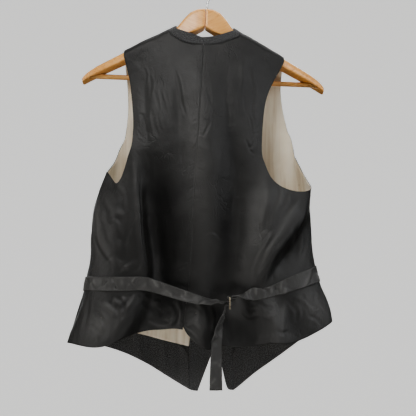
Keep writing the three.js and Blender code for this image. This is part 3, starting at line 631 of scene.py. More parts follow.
# The broad folds of the fronts, which the photo shows from inside, below the back's hem
frontFolds = [
    (9, 3.6, (-128, -600), (-126, -650), (-118, -712)),
    (8, -3.4, (-106, -590), (-104, -650), (-98, -726)),
    (9, 3.6, (-78, -596), (-78, -660), (-72, -740)),
    (9, -3.1, (-52, -600), (-52, -670), (-46, -750)),
    (9, 3.4, (74, -600), (76, -660), (70, -740)),
    (9, -3.4, (104, -590), (104, -650), (96, -724)),
    (10, 3.4, (134, -580), (136, -640), (130, -700)),
]


def creaseRows(rows, side="rear"):
    # a row is a crease's width, depth and lean, then its path as (across, height) from the hook
    return [{"path": path, "width": width, "depth": depth, "lean": lean, "side": side}
            for width, depth, lean, *path in rows]


# Creases like the ones that the photo shows on the back
backCreases = creaseRows([
    # crumples under the right armhole
    (10, -2.5, 0.3, (120, -394), (118, -412), (108, -446), (96, -480)),
    (4, 1.5, -0.3, (127, -398), (128, -416), (124, -434)),
    (6, -1.8, 0.35, (136, -402), (130, -426), (118, -452), (114, -476)),
    (3.5, -1.4, 0.4, (150, -412), (138, -436), (131, -448)),
    (4, 1.2, 0.3, (144, -404), (140, -420), (142, -436)),
    (5, 1.5, 0.2, (160, -416), (150, -432), (128, -462)),
    (5, -1.8, -0.4, (164, -428), (146, -454), (128, -482), (112, -512)),
    (3.5, 0.9, 0.3, (110, -432), (104, -456), (106, -478)),
    # beside the diagonal fold on the right
    (6, -3.6, 0.45, (168, -430), (132, -482), (114, -507), (97, -534), (83, -556)),
    (5, 1.3, 0.3, (120, -470), (99, -498), (84, -526), (76, -548)),
    (9, -1.6, 0.2, (150, -470), (153, -500), (148, -528)),
    (6, 1.3, 0.3, (166, -468), (163, -496), (158, -520)),
    (4, -1.4, -0.3, (174, -488), (168, -508), (160, -522)),
    # right shoulder blade, beside the armhole
    (3, -1.5, 0.3, (67, -316), (75, -331), (81, -319)),
    (3, -1.0, 0.3, (70, -326), (76, -338), (84, -342)),
    (3, -0.9, 0.3, (76, -184), (79, -206), (83, -224)),
    (3, -0.9, 0.3, (83, -232), (80, -262), (85, -296)),
    (2.8, -0.7, 0.4, (64, -236), (68, -262), (76, -284)),
    (2.8, -0.9, 0.4, (72, -268), (78, -290), (80, -310)),
    # right of the centre seam
    (2.8, -1.2, 0.4, (-1, -226), (5, -246), (11, -268)),
    (2.6, 0.8, 0.4, (6, -220), (10, -240), (9, -256)),
    (2.6, -1.4, 0.3, (-7, -314), (-1, -302), (6, -287)),
    (2.6, 0.8, 0.3, (8, -298), (2, -306), (-2, -318)),
    (2.4, -0.9, 0.3, (-20, -312), (-12, -309), (-4, -311)),
    (3.2, -0.8, 0.4, (12, -256), (8, -276), (13, -300)),
    (4, -0.8, 0.3, (-6, -484), (10, -478), (26, -490)),
    # left of the centre seam and the left shoulder blade
    (3, -0.9, 0.4, (-58, -186), (-50, -222), (-40, -270)),
    (2.6, 0.9, 0.3, (-52, -192), (-46, -212), (-41, -238)),
    (2.6, -1.0, 0.4, (-49, -236), (-43, -256), (-36, -276)),
    (2.8, -1.2, 0.4, (-94, -226), (-88, -246), (-82, -268)),
    (2.8, -1.3, 0.3, (-84, -222), (-76, -252), (-66, -282)),
    (2.6, -0.9, 0.3, (-75, -226), (-68, -248), (-58, -270)),
    (3.4, 0.9, 0.3, (-80, -258), (-82, -276), (-76, -300)),
    (3.2, -1.0, -0.3, (-104, -192), (-98, -214), (-100, -240)),
    (3, 0.8, 0.3, (-110, -180), (-104, -196), (-106, -214)),
    (4, -1.0, 0.3, (-96, -262), (-92, -290), (-84, -312)),
    (4, -0.9, 0.3, (-116, -262), (-108, -292), (-102, -318)),
    (3.2, -0.7, 0.4, (-40, -326), (-44, -348), (-40, -366)),
    (5, -1.0, 0.3, (-106, -336), (-98, -362), (-96, -392)),
    (2.6, -1.2, 0.3, (-50, -541), (-42, -537), (-34, -534)),
    # the crisp line down the left fold
    (2.6, -1.2, 0.2, (-118, -372), (-116, -388), (-112, -449), (-107, -508), (-102, -553)),
    # the left bulge above the strap, drawn in towards it
    (11, 2.0, 0.3, (-198, -430), (-190, -484), (-168, -520), (-134, -544)),
    (10, -2.0, 0.3, (-180, -440), (-162, -478), (-138, -502)),
    (9, 1.4, 0.2, (-186, -402), (-166, -436), (-140, -452)),
    (9, -2.0, 0.3, (-174, -386), (-162, -404), (-146, -422)),
    (6, -1.5, 0.3, (-198, -484), (-184, -514), (-160, -538)),
    (6, 1.0, 0.3, (-152, -392), (-142, -420), (-138, -446)),
    (6, -1.0, 0.3, (-132, -470), (-140, -498), (-136, -522)),
    (4, 1.1, 0.3, (-162, -549), (-140, -540), (-116, -526)),
    (4, -1.0, -0.3, (-190, -549), (-180, -534), (-160, -516)),
    (3.5, -1.1, 0.2, (-148, -550), (-128, -544), (-112, -534)),
    (4, 0.8, 0.3, (-172, -462), (-160, -458), (-150, -466)),
    (3.5, 0.8, 0.3, (-186, -452), (-176, -464), (-172, -482)),
    # below the strap on the left
    (6, 2.0, 0.4, (-176, -584), (-170, -604), (-156, -622)),
    (7, -2.0, 0.3, (-190, -586), (-186, -612), (-176, -636)),
    (6, 1.8, 0.3, (-160, -590), (-148, -600), (-134, -588)),
    (5, 1.8, -0.4, (-142, -616), (-130, -598), (-120, -584)),
    (6, -1.8, 0.3, (-152, -584), (-150, -608), (-156, -640)),
    (7, -1.5, 0.3, (-204, -592), (-206, -622), (-214, -650)),
    (8, -1.4, 0.3, (-168, -628), (-172, -646), (-182, -662)),
    (5, 1.2, 0.3, (-196, -628), (-200, -645), (-204, -662)),
    # crumpled light cloth between the seam and the tail
    (5, -1.9, 0.3, (-36, -600), (-22, -594), (-8, -602)),
    (4.5, -2.3, 0.4, (-38, -620), (-26, -612), (-12, -624), (-4, -640)),
    (4, 2.2, 0.3, (-34, -634), (-22, -628), (-10, -640)),
    (5, 2.4, 0.4, (-20, -588), (-14, -606), (-16, -630)),
    (6, -1.9, 0.3, (-8, -586), (0, -604), (2, -634), (-4, -660)),
    (5, -1.9, 0.3, (-58, -598), (-52, -616), (-60, -636)),
    (4, 1.9, 0.3, (-50, -592), (-46, -612), (-48, -636)),
    # below the strap on the right
    (6, -2.1, 0.3, (74, -606), (84, -598), (96, -602)),
    (5, 1.9, 0.3, (60, -612), (72, -622), (88, -616)),
    (8, 2.2, 0.3, (132, -596), (128, -626), (126, -654)),
    (5, -1.3, 0.3, (168, -584), (162, -600), (164, -622)),
    (5, -1.3, 0.3, (198, -612), (184, -622), (180, -640)),
    (4, 1.6, 0.3, (190, -584), (194, -600), (204, -616)),
    (7, -1.2, 0.3, (38, -610), (36, -636), (40, -662)),
    # small crumples along the hem
    (5, -2.2, 0.3, (-196, -612), (-180, -622), (-168, -640)),
    (5, 1.8, 0.3, (-186, -600), (-166, -606), (-150, -622)),
    (4, -1.7, 0.3, (-206, -634), (-190, -640), (-176, -652)),
    (5, -2.0, 0.4, (-150, -590), (-140, -604), (-144, -624)),
    (7, -2.2, 0.3, (-110, -596), (-92, -606), (-78, -622)),
    (5, 1.7, 0.3, (-100, -626), (-84, -634), (-66, -636)),
    (4, 2.0, 0.3, (-30, -586), (-16, -596), (-4, -616)),
    (4, -1.2, 0.3, (-46, -640), (-30, -646), (-16, -660)),
    (5, 1.9, 0.3, (4, -600), (10, -620), (8, -646)),
    (5, -2.4, 0.3, (84, -590), (96, -604), (112, -606)),
    (4, 1.7, 0.4, (92, -612), (104, -620), (120, -616)),
    (5, -2.1, 0.3, (140, -600), (152, -612), (150, -630)),
    (4, 1.7, 0.3, (152, -588), (170, -600), (180, -618)),
    (4, -1.9, 0.3, (172, -620), (188, -626), (202, -640)),
    (5, -1.7, 0.3, (110, -640), (124, -648), (142, -646)),
])
# The fronts are firmer and hidden from the photo: softer, wider creases of the same kind
frontCreases = creaseRows([
    (9, -1.6, 0.3, (-150, -320), (-128, -345), (-104, -352)),
    (11, -1.4, 0.3, (-156, -380), (-132, -400), (-100, -404)),
    (12, 1.2, 0.3, (-168, -470), (-138, -486), (-104, -482)),
    (10, -1.4, 0.4, (-176, -530), (-140, -540), (-100, -532)),
    (12, -1.0, 0.4, (-96, -230), (-90, -280), (-96, -330)),
    (11, -1.6, 0.4, (-184, -590), (-170, -620), (-160, -662)),
    (10, 1.3, 0.3, (-142, -600), (-136, -640), (-130, -680)),
    (8, -1.4, 0.3, (-108, -620), (-104, -660), (-98, -702)),
    (9, 1.2, 0.3, (-78, -640), (-72, -680), (-70, -716)),
    (9, -1.6, 0.3, (150, -310), (128, -334), (100, -342)),
    (11, -1.2, 0.3, (152, -372), (126, -392), (92, -398)),
    (12, 1.2, 0.3, (156, -440), (124, -462), (88, -460)),
    (10, -1.4, 0.4, (160, -516), (126, -530), (90, -524)),
    (12, -1.0, 0.4, (84, -228), (78, -276), (84, -322)),
    (10, -1.5, 0.3, (158, -580), (146, -612), (140, -646)),
    (9, 1.3, 0.3, (116, -600), (108, -640), (104, -684)),
    (8, -1.2, 0.3, (84, -640), (80, -676), (76, -712)),
], "front")
# The armholes show the inside of the fronts: soft folds of the lining, felt through the wool
sideCreases = creaseRows([
    (8, -1.6, 0.3, (30, -390), (16, -430), (4, -470)),
    (7, 1.3, 0.3, (36, -440), (24, -480), (20, -520)),
    (8, -1.5, 0.3, (6, -560), (14, -590), (22, -620)),
], "right")
sideCreases += creaseRows([
    (8, -1.6, 0.3, (0, -400), (6, -440), (2, -480)),
    (7, 1.3, 0.3, (12, -420), (16, -465), (10, -510)),
    (7, -1.4, 0.3, (-8, -590), (-2, -620), (4, -650)),
], "left")


def puckers(line, count, length, width, depth, slant, seed):
    # short uneven creases beside a seam: line is its (across, height) points
    draw = random.Random(seed)
    made = []
    seam = smoothPath(line, 2)
    for i in range(count):
        at = seam[min(len(seam) - 1, int((i + draw.uniform(0.1, 0.9)) / count * len(seam)))]
        hand = draw.choice((-1, 1)) if slant[2] == 0 else slant[2]
        angle = math.radians(draw.uniform(slant[0], slant[1]))
        reach = draw.uniform(*length)
        away = np.array([hand * math.cos(angle), -math.sin(angle)]) * reach
        bend = np.array([0, draw.uniform(-0.15, 0.15) * reach])
        first = at + away * draw.uniform(0.05, 0.3)
        path = [first, first + away * 0.5 + bend, first + away]
        made.append({"path": path, "width": draw.uniform(*width),
                     "depth": -draw.uniform(*depth) * draw.choice((1, 1, -0.6)),
                     "lean": draw.uniform(0, 0.5)})
    return made


centreLine = [(-6, -142), (-12, -246), (-18, -340), (-26, -492), (-31, -560), (-40, -640)]
# a row is the line beside which they lie, count, length, width, depth, slant and seed
puckerRows = [
    (centreLine[:4], 34, (5, 12), (1.6, 2.8), (0.35, 0.9), (20, 60, -1), 4),
    (centreLine[:4], 16, (6, 14), (1.8, 3), (0.3, 0.8), (-50, 10, 1), 9),
    (centreLine[3:], 14, (5, 12), (1.8, 3), (0.5, 1.0), (-40, 50, 0), 12),
    ([(88, -215), (92, -290), (100, -330), (120, -390)], 14, (6, 15), (2, 3.4), (0.4, 0.9), (10, 70, -1), 15),
    ([(-122, -215), (-122, -290), (-130, -350), (-150, -390)], 14,
     (6, 15), (2, 3.4), (0.4, 0.9), (10, 70, 1), 18),
    ([(-205, -548), (-160, -548), (-110, -548)], 16, (7, 20), (2.2, 4), (0.7, 1.5), (-80, -35, 0), 21),
    ([(-208, -584), (-160, -584), (-112, -582)], 16, (7, 20), (2.2, 4), (0.7, 1.5), (35, 80, 0), 24),
    ([(78, -566), (120, -562), (180, -532)], 12, (7, 16), (2.2, 3.6), (0.6, 1.3), (-80, -40, 0), 27),
    ([(84, -600), (130, -590), (190, -566)], 14, (7, 18), (2.2, 3.8), (0.6, 1.4), (40, 80, 0), 30),
    ([(-220, -660), (-170, -664), (-110, -640)], 10, (6, 14), (2.4, 4), (0.4, 0.9), (-85, -50, 0), 33),
    ([(40, -664), (120, -660), (200, -636)], 12, (6, 14), (2.4, 4), (0.4, 0.9), (-85, -50, 0), 36),
]
seamPuckers = [fold for row in puckerRows for fold in puckers(*row)]
allCreases = [crease(**fold) for fold in backCreases + seamPuckers + sideCreases]
allCreases += [crease(**fold) for fold in frontCreases]
allCreases = [fold for fold in allCreases if fold]
print("creases laid:", len(allCreases))

# Gentle unevenness of cloth that has been worn: (size of a swell in mm, its height in mm)
swells = {
    "satin": [(46, 0.9), (21, 0.45), (11, 0.22)],
    "wool": [(60, 0.8), (28, 0.3)],
    "lining": [(46, 0.9), (21, 0.45)],
}


def alongPaths(points, rows):
    # what each row's fold or zone adds at each point, by the point's place seen from behind
    seen = points[:, [0, 2]] / mm
    lift = np.zeros(len(points))
    for width, height, *line in rows:
        path = np.array(smoothPath(line, 3))
        fade = np.sin(np.linspace(0, math.pi, len(path))) ** 1.3
        gaps = np.sqrt(((seen[:, None, :] - path[None, :, :]) ** 2).sum(2))
        closest = gaps.argmin(1)
        s = gaps[np.arange(len(seen)), closest] / width
        lift += height * fade[closest] * np.exp(-2.2 * s * s)
    return lift


def hemDrop(points):
    # the hem of the back hangs a little lower beside the tail of the strap
    gap = np.hypot((points[:, 0] - 0.046) / 0.020, (points[:, 2] + 0.664) / 0.016)
    return 0.005 * np.exp(-gap ** 2)


def swellLift(points, cloth):
    lift = np.zeros(len(points))
    for size, height in swells[cloth]:
        lift += height * mm * np.array([noise.noise(Vector(p) / (size * mm)) for p in points])
    return lift


def openEdges(mesh):
    count = {}
    for face in mesh.polygons:
        for key in face.edge_keys:
            count[key] = count.get(key, 0) + 1
    return [key for key, uses in count.items() if uses == 1]


def edgePoints(mesh):
    return np.array(sorted({v for key in openEdges(mesh) for v in key}))


def borderLoop(mesh):
    # the open edge of a sheet as an ordered ring of vertex numbers
    neighbours = {}
    for a, b in openEdges(mesh):
        neighbours.setdefault(a, []).append(b)
        neighbours.setdefault(b, []).append(a)
    start = min(neighbours)
    ring = [start]
    before = None
    here = start
    while True:
        after = [v for v in neighbours[here] if v != before]
        if not after or after[0] == start:
            return ring
        before, here = here, after[0]
        ring.append(here)


def distanceTo(points, targets):
    gaps = np.empty(len(points))
    for start in range(0, len(points), 2000):
        part = points[start:start + 2000]
        gaps[start:start + 2000] = np.sqrt(((part[:, None, :] - targets[None, :, :]) ** 2).sum(2).min(1))
    return gaps


def smoothStep(values, low, high):
    t = np.clip((values - low) / (high - low), 0, 1)
    return t * t * (3 - 2 * t)


def moveAlongNormals(piece, lift):
    mesh = piece.data
    moved = meshPoints(mesh) + meshNormals(mesh) * lift[:, None]
    mesh.vertices.foreach_set("co", moved.ravel())
    mesh.update()


def markWearAndPaintedLight(piece, lift, height, most, least=0.0):
    # how pale the satin is at each point: least, and up to most more on a ridge of the given height. On the back,
    # least also holds painted light and shade in bands.
    wearAndPaintedLight = piece.data.attributes.new("wearAndPaintedLight", "FLOAT", "POINT")
    level = np.clip(least + np.clip(lift / height, 0, 1) * most, 0, 1)
    wearAndPaintedLight.data.foreach_set("value", level.astype(np.float32))


def giveThickness(piece, wall):
    thick = piece.modifiers.new("wall", "SOLIDIFY")
    thick.thickness = wall * mm
    thick.offset = -1
    thick.use_rim = True



def meshTree(mesh):
    corners = [v.co[:] for v in mesh.vertices]
    return bvhtree.BVHTree.FromPolygons(corners, [f.vertices[:] for f in mesh.polygons])


strapTrees = [meshTree(nodes["strap_left"].data), meshTree(nodes["strap_right"].data)]
heldFlat = {
    "under": 3.0, "free": 16.0, "least": 0.12, "search": 0.03, "edgeReach": 1.3,
    "edgeRoll": {"satin": 0.06, "wool": 0.5, "lining": 0.25},
}


def strapHold(points):
    # 0 under a sewn strap and 1 well away from it
    far = heldFlat["search"]
    gaps = np.array([min((tree.find_nearest(Vector(p), far)[3] or far) for tree in strapTrees)
                     for p in points])
    free = smoothStep(gaps, heldFlat["under"] * mm, heldFlat["free"] * mm)
    return heldFlat["least"] + (1 - heldFlat["least"]) * free


seams = [
    ("satinBackLeft", "satinBackRight"), ("satinBackLeft", "woolFrontLeft"),
    ("satinBackRight", "woolFrontRight"), ("satinBackLeft", "neckBandLeft"),
    ("satinBackRight", "neckBandRight"), ("neckBandLeft", "neckBandRight"),
    ("woolFrontLeft", "neckBandLeft"), ("woolFrontRight", "neckBandRight"),
    ("backLiningLeft", "backLiningRight"), ("backLiningLeft", "frontLiningLeft"),
    ("backLiningRight", "frontLiningRight"), ("frontLiningLeft", "edgeFacingLeft"),
    ("frontLiningRight", "edgeFacingRight"), ("frontLiningLeft", "hemFacingLeft"),
    ("frontLiningRight", "hemFacingRight"), ("hemFacingLeft", "edgeFacingLeft"),
    ("hemFacingRight", "edgeFacingRight"),
]
seamReach = 1.6


def closestOnRim(points, rimPoints):
    # the nearest place on another sheet's edge, and how far it is
    places = np.empty_like(points)
    gaps = np.full(len(points), np.inf)
    ahead = np.roll(rimPoints, -1, axis=0)
    run = ahead - rimPoints
    square = (run * run).sum(1) + 1e-18
    for i, point in enumerate(points):
        t = np.clip(((point - rimPoints) * run).sum(1) / square, 0, 1)
        spots = rimPoints + run * t[:, None]
        distance = np.linalg.norm(spots - point, axis=1)
        best = distance.argmin()
        places[i], gaps[i] = spots[best], distance[best]
    return places, gaps


def closeSeams():
    # sewn edges are drawn together, a hair apart, where the solids leave a gap
    rings = {name: np.array(borderLoop(piece.data)) for name, piece in sheets.items()}
    spots = {name: meshPoints(piece.data) for name, piece in sheets.items()}
    moved = {name: points.copy() for name, points in spots.items()}
    for first, second in seams:
        for name, other in ((first, second), (second, first)):
            ring = rings[name]
            places, gaps = closestOnRim(spots[name][ring], spots[other][rings[other]])
            near = gaps < seamReach * mm
            own = ring[near]
            moved[name][own] = spots[name][own] * 0.51 + places[near] * 0.49
    for name, piece in sheets.items():
        piece.data.vertices.foreach_set("co", moved[name].ravel())
        piece.data.update()


closeSeams()
for name, values in bodySheets.items():
    piece = sheets[name]
    points = meshPoints(piece.data)
    lift = creaseLift(points, allCreases) + swellLift(points, values["slot"])
    if "Band" in name:
        lift *= 0.25
    if "back" in values["node"]:
        hold = strapHold(points)
        lift *= hold
        points[:, 1] -= alongPaths(points, broadFolds) * mm * hold
    else:
        points[:, 1] -= alongPaths(points, frontFolds) * mm
    points[:, 2] -= hemDrop(points) if "Back" in name or "back" in name else 0
    piece.data.vertices.foreach_set("co", points.ravel())
    piece.data.update()
    rim = edgePoints(piece.data)
    gaps = distanceTo(points, points[rim])
    if values["slot"] == "satin":
        # painted light and shade: the tone bands make zones of the back's satin paler and darker
        markWearAndPaintedLight(piece, lift, 2.2 * mm, 0.25, satin["paleness"] + alongPaths(points, toneBands))
    lift -= heldFlat["edgeRoll"][values["slot"]] * mm * np.exp(-gaps / (heldFlat["edgeReach"] * mm))
    moveAlongNormals(piece, lift)
    giveThickness(piece, values["wall"])
    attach(piece, "root")
print("body cloth creased")


# straps: crinkled along their length, sewn at both ends

strapCrinkle = {
    "spacing": (3, 8), "width": (2.0, 4.2), "depth": (0.8, 2.0), "slant": 1.1, "reach": (5, 11),
    "halfWidth": 11.5, "wall": 1.2, "paleness": 0.44, "ridge": 0.35,
}


def crinkleStrap(name, seed):
    piece = straps[name]
    draw = random.Random(seed)
    mesh = piece.data
    cut, corner = readCut(mesh)
    flat = np.zeros((len(mesh.vertices), 2))
    flat[corner] = cut
    lift = np.zeros(len(flat))
    along = flat[:, 1].min()
    while along < flat[:, 1].max():
        along += draw.uniform(*strapCrinkle["spacing"]) * mm
        middle = draw.uniform(-0.8, 0.8) * strapCrinkle["halfWidth"] * mm
        width = draw.uniform(*strapCrinkle["width"]) * mm
        depth = draw.uniform(*strapCrinkle["depth"]) * mm * draw.choice((-1, -1, 0.8))
        slant = draw.uniform(-strapCrinkle["slant"], strapCrinkle["slant"])
        reach = draw.uniform(*strapCrinkle["reach"]) * mm
        across = flat[:, 0] - middle
        run = flat[:, 1] - along - slant * across
        lift += depth * np.exp(-(run / width) ** 2) * np.exp(-(across / reach) ** 2)
    points = meshPoints(mesh)
    gaps = distanceTo(points, points[edgePoints(mesh)])
    lift += strapCrinkle["ridge"] * mm * np.exp(-((gaps - 2.0 * mm) / (1.1 * mm)) ** 2)
    markWearAndPaintedLight(piece, lift, 0.9 * mm, 0.45, strapCrinkle["paleness"])
    lift -= strapCrinkle["ridge"] * mm * np.exp(-gaps / (1.2 * mm))
    moveAlongNormals(piece, lift)
    giveThickness(piece, strapCrinkle["wall"])
    width, length, area = cuts[name]
    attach(piece, "root")


crinkleStrap("waistStrapLeft", 5)
crinkleStrap("waistStrapRight", 8)
print("straps crinkled")


# sewing: rows of short threads laid along the edges of the sheets

stitch = {"pitch": 3.1, "length": 2.3, "radius": 0.22, "lift": 0.05}


def edgeRun(piece, fromPoint, viaPoint, toPoint):
    # the stretch of a sheet's edge from one place to another, by way of a third
    ring = borderLoop(piece.data)
    points = meshPoints(piece.data)[ring]
    wanted = (fromPoint, viaPoint, toPoint)
    spots = [int(np.linalg.norm(points - np.array(p) * mm, axis=1).argmin()) for p in wanted]
    total = len(ring)
    forward = (spots[2] - spots[0]) % total
    if (spots[1] - spots[0]) % total <= forward:
        order = [(spots[0] + i) % total for i in range(forward + 1)]
    else:
        order = [(spots[0] - i) % total for i in range(total - forward + 1)]
    return points[order]


def threadTemplate():
    bm = bmesh.new()
    bmesh.ops.create_uvsphere(bm, u_segments=6, v_segments=4, radius=1)
    bmesh.ops.rotate(bm, verts=bm.verts, matrix=Matrix.Rotation(math.pi / 2, 3, "Y"))
    points = np.array([v.co[:] for v in bm.verts])
    faces = [[v.index for v in f.verts] for f in bm.faces]
    bm.free()
    return points, faces


threadPoints, threadFaces = threadTemplate()


def threadMesh(name, placed):
    # placed: (middle, direction, normal, length, radius) of every thread
    points = []
    faces = []
    for middle, direction, normal, length, radius in placed:
        side = np.cross(normal, direction)
        start = len(points)
        frameAxes = np.array([direction * length / 2, side * radius, normal * radius])
        points.extend(middle + threadPoints @ frameAxes)
        faces.extend([[start + i for i in face] for face in threadFaces])
    mesh = bpy.data.meshes.new(name)
    mesh.from_pydata([tuple(p) for p in points], [], faces)
    piece = bpy.data.objects.new(name, mesh)
    collection.objects.link(piece)
    mesh.materials.append(materials["thread"])
    mesh.shade_smooth()
    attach(piece, "root")
    return piece


def sewRow(piece, run, inset):
    tree = meshTree(piece.data)
    pitch = stitch["pitch"] * mm
    steps = np.linalg.norm(np.diff(run, axis=0), axis=1)
    length = np.concatenate([[0], np.cumsum(steps)])
    placed = []
    for at in np.arange(pitch, length[-1] - pitch, pitch):
        here = np.array([np.interp(at, length, run[:, k]) for k in range(3)])
        ahead = np.array([np.interp(at + pitch / 2, length, run[:, k]) for k in range(3)])
        point, normal, face, _ = tree.find_nearest(Vector(here))
        direction = ahead - here
        inward = np.cross(np.array(normal), direction)
        inward /= np.linalg.norm(inward) + 1e-12
        if np.dot(np.array(piece.data.polygons[face].center) - here, inward) < 0:
            inward = -inward
        point, normal, _, _ = tree.find_nearest(Vector(here + inward * inset * mm))
        normal = np.array(normal)
        direction -= normal * np.dot(direction, normal)
        direction /= np.linalg.norm(direction) + 1e-12
        seat = np.array(point) + normal * stitch["lift"] * mm
        placed.append((seat, direction, normal, stitch["length"] * mm, stitch["radius"] * mm))
    return placed


leftStrap = straps["waistStrapLeft"]
rightStrap = straps["waistStrapRight"]
# a row is a strap, where the stretch of edge starts, passes and ends, and how far in the row lies
strapRuns = [
    (leftStrap, (-212, 0, -552), (-80, -62, -561), (20, -61, -594), 2.0),
    (leftStrap, (-216, 0, -578), (-81, -61, -583), (20, -84, -596), 2.0),
    (leftStrap, (31, -61, -612), (26, -68, -700), (26, -69, -742), 2.0),
    (leftStrap, (30, -84, -612), (5, -75, -700), (4, -72, -742), 2.0),
    (leftStrap, (26, -69, -742), (15, -70, -742), (4, -72, -742), 2.4),
    (rightStrap, (184, 40, -532), (120, -54, -560), (67, -67, -577), 2.0),
    (rightStrap, (191, 40, -558), (120, -54, -590), (68, -74, -593), 2.0),
]
strapRows = []
for strap, *places, inset in strapRuns:
    strapRows += sewRow(strap, edgeRun(strap, *places), inset)
threadMesh("strapStitching", strapRows)
bandRows = []
for side, name in ((-1, "neckBandLeft"), (1, "neckBandRight")):
    band = sheets[name]
    run = edgeRun(band, (-7, -23, -140), (side * 30, -21, -136), (side * 60, -15, -118))
    bandRows += sewRow(band, run, 1.8)
threadMesh("bandStitching", bandRows)
frontRows = []
for side, name in ((-1, "woolFrontLeft"), (1, "woolFrontRight")):
    panel = sheets[name]
    low = (-16, 61, -756) if side < 0 else (34, 58, -754)
    high = (-49, 20, -118) if side < 0 else (44, 20, -118)
    middle = (30, 61, -480) if side < 0 else (-4, 55, -484)
    frontRows += sewRow(panel, edgeRun(panel, low, middle, high), 6.0)
    frontRows += sewRow(panel, edgeRun(panel, (side * 222, 20, -660), (side * 75, 58, -728), low), 6.0)
threadMesh("frontStitching", frontRows)
print("sewing laid:", len(strapRows) + len(bandRows) + len(frontRows), "stitches")


# buttons with four holes and crossed thread, on worked buttonholes

button = {"radius": 7.5, "thick": 3.0, "dish": 0.8, "rim": 1.5, "hole": 0.85, "holeStep": 1.6, "segments": 40,
          "slit": 15.0, "slitHalf": 1.1, "threadRadius": 0.3}


def buttonMesh():
    bm = bmesh.new()
    radius, thick = button["radius"], button["thick"]
    rim = radius - button["rim"]
    profile = [
        (0, 0), (radius - 1.2, 0), (radius - 0.3, 0.7), (radius, 1.5), (radius - 0.25, 2.4),
        (radius - 0.9, thick), (rim - 0.5, thick - 0.25), (rim - 1.2, thick - button["dish"]),
        (0, thick - button["dish"] - 0.1),
    ]
    line = [bm.verts.new((x * mm, 0, z * mm)) for x, z in profile]
    edges = [bm.edges.new(pair) for pair in zip(line, line[1:])]
    bmesh.ops.spin(bm, geom=line + edges, cent=(0, 0, 0), axis=(0, 0, 1), angle=2 * math.pi,
                   steps=button["segments"], use_merge=True)
    bmesh.ops.remove_doubles(bm, verts=bm.verts, dist=1e-6)
    bmesh.ops.recalc_face_normals(bm, faces=bm.faces)
    return bm


def drillHoles(piece):
    drill = bmesh.new()
    step = button["holeStep"]
    for x, y in ((-step, -step), (-step, step), (step, -step), (step, step)):
        hole = bmesh.ops.create_cone(drill, cap_ends=True, segments=16, radius1=button["hole"] * mm,
                                     radius2=button["hole"] * mm, depth=8 * mm)["verts"]
        bmesh.ops.translate(drill, verts=hole, vec=(x * mm, y * mm, 0))
    cutter = newPiece("holeCutter", drill, "button")
    cutting = piece.modifiers.new("holes", "BOOLEAN")
    cutting.operation = "DIFFERENCE"
    cutting.object = cutter
    cutting.solver = "EXACT"
    runOperator(piece, bpy.ops.object.modifier_apply, modifier="holes")
    bpy.data.objects.remove(cutter)


firstButton = newPiece("hornButton1", buttonMesh(), "button")
drillHoles(firstButton)
plainButton = firstButton.data.copy()
buttonThreads = []
holeThreads = []
for number in range(1, 6):
    nodeName = "button_%d" % number
    points = meshPoints(nodes[nodeName].data)
    axis = np.linalg.svd(points - points.mean(0))[2][2]
    axis = axis if axis[1] > 0 else -axis
    out = Vector(axis)
    across = Vector((1, 0, 0)) - out * out.x
    across.normalize()
    up = out.cross(across)
    heights = points @ axis
    seat = Vector(points.mean(0)) + out * (heights.min() - points.mean(0) @ axis)
    place = Matrix((across, up, out)).transposed().to_4x4()
    place.translation = seat
    mesh = plainButton.copy()
    mesh.transform(place)
    piece = firstButton if number == 1 else bpy.data.objects.new("hornButton%d" % number, mesh)
    if number == 1:
        piece.data = mesh
    else:
        collection.objects.link(piece)
    mesh.name = "hornButton%d" % number
    bevel = piece.modifiers.new("softEdge", "BEVEL")
    bevel.width = 0.12 * mm
    bevel.segments = 2
    bevel.limit_method = "ANGLE"
    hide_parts(nodeName)
    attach(piece, "root")
    top = np.array(seat + out * (button["thick"] - button["dish"] + 0.15) * mm)
    acrossArray, upArray, outArray = np.array(across), np.array(up), np.array(out)
    for turn in (1, -1):
        direction = (acrossArray + turn * upArray) / math.sqrt(2)
        for shift in (-0.22, 0.22):
            offset = np.cross(outArray, direction) * shift * mm
            lifted = top + outArray * (0.12 if turn > 0 else 0.32) * mm
            thread = (lifted + offset, direction, outArray, 5.6 * mm, button["threadRadius"] * mm)
            buttonThreads.append(thread)
    half = button["slit"] / 2
    count = 34
    for i in range(count):
        turn = 2 * math.pi * i / count
        squeeze = np.sign(math.cos(turn)) * abs(math.cos(turn)) ** 0.6
        x = -half + 2.0 + half * squeeze
        y = button["slitHalf"] * math.sin(turn)
        spot = np.array(seat) + (acrossArray * x + upArray * y) * mm
        point, normal, _, _ = shellTree.find_nearest(Vector(spot))
        holeThreads.append((np.array(point) + outArray * 0.15 * mm, upArray, outArray, 1.7 * mm, 0.34 * mm))
threadMesh("buttonThread", buttonThreads)
threadMesh("buttonholeThread", holeThreads)
print("buttons made")


# hanger and buckle: the solids' forms with softened edges

def softened(name, nodeName, slotName, voxel, rounds, material=None):
    bm = bmesh.new()
    bm.from_mesh(nodes[nodeName].data)
    bmesh.ops.remove_doubles(bm, verts=bm.verts, dist=1e-5)
    piece = newPiece(name, bm, slotName, material)
    fine = piece.modifiers.new("fine", "REMESH")
    fine.mode = "VOXEL"
    fine.voxel_size = voxel * mm
    fine.use_smooth_shade = True
    runOperator(piece, bpy.ops.object.modifier_apply, modifier="fine")
    soft = piece.modifiers.new("soft", "SMOOTH")
    soft.factor = 0.5
    soft.iterations = rounds
    runOperator(piece, bpy.ops.object.modifier_apply, modifier="soft")
    piece.data.shade_smooth()
    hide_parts(nodeName)
    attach(piece, "root")
    return piece


armSlope = 27
leftWood = woodMaterial("varnishedArmLeft", -armSlope)
softened("hangerArmLeft", "hanger_arm_left", "wood", 1.6, 6, leftWood)
rightWood = woodMaterial("varnishedArmRight", armSlope + 3)
softened("hangerArmRight", "hanger_arm_right", "wood", 1.6, 6, rightWood)
softened("slideBuckle", "buckle", "buckle", 0.28, 4)


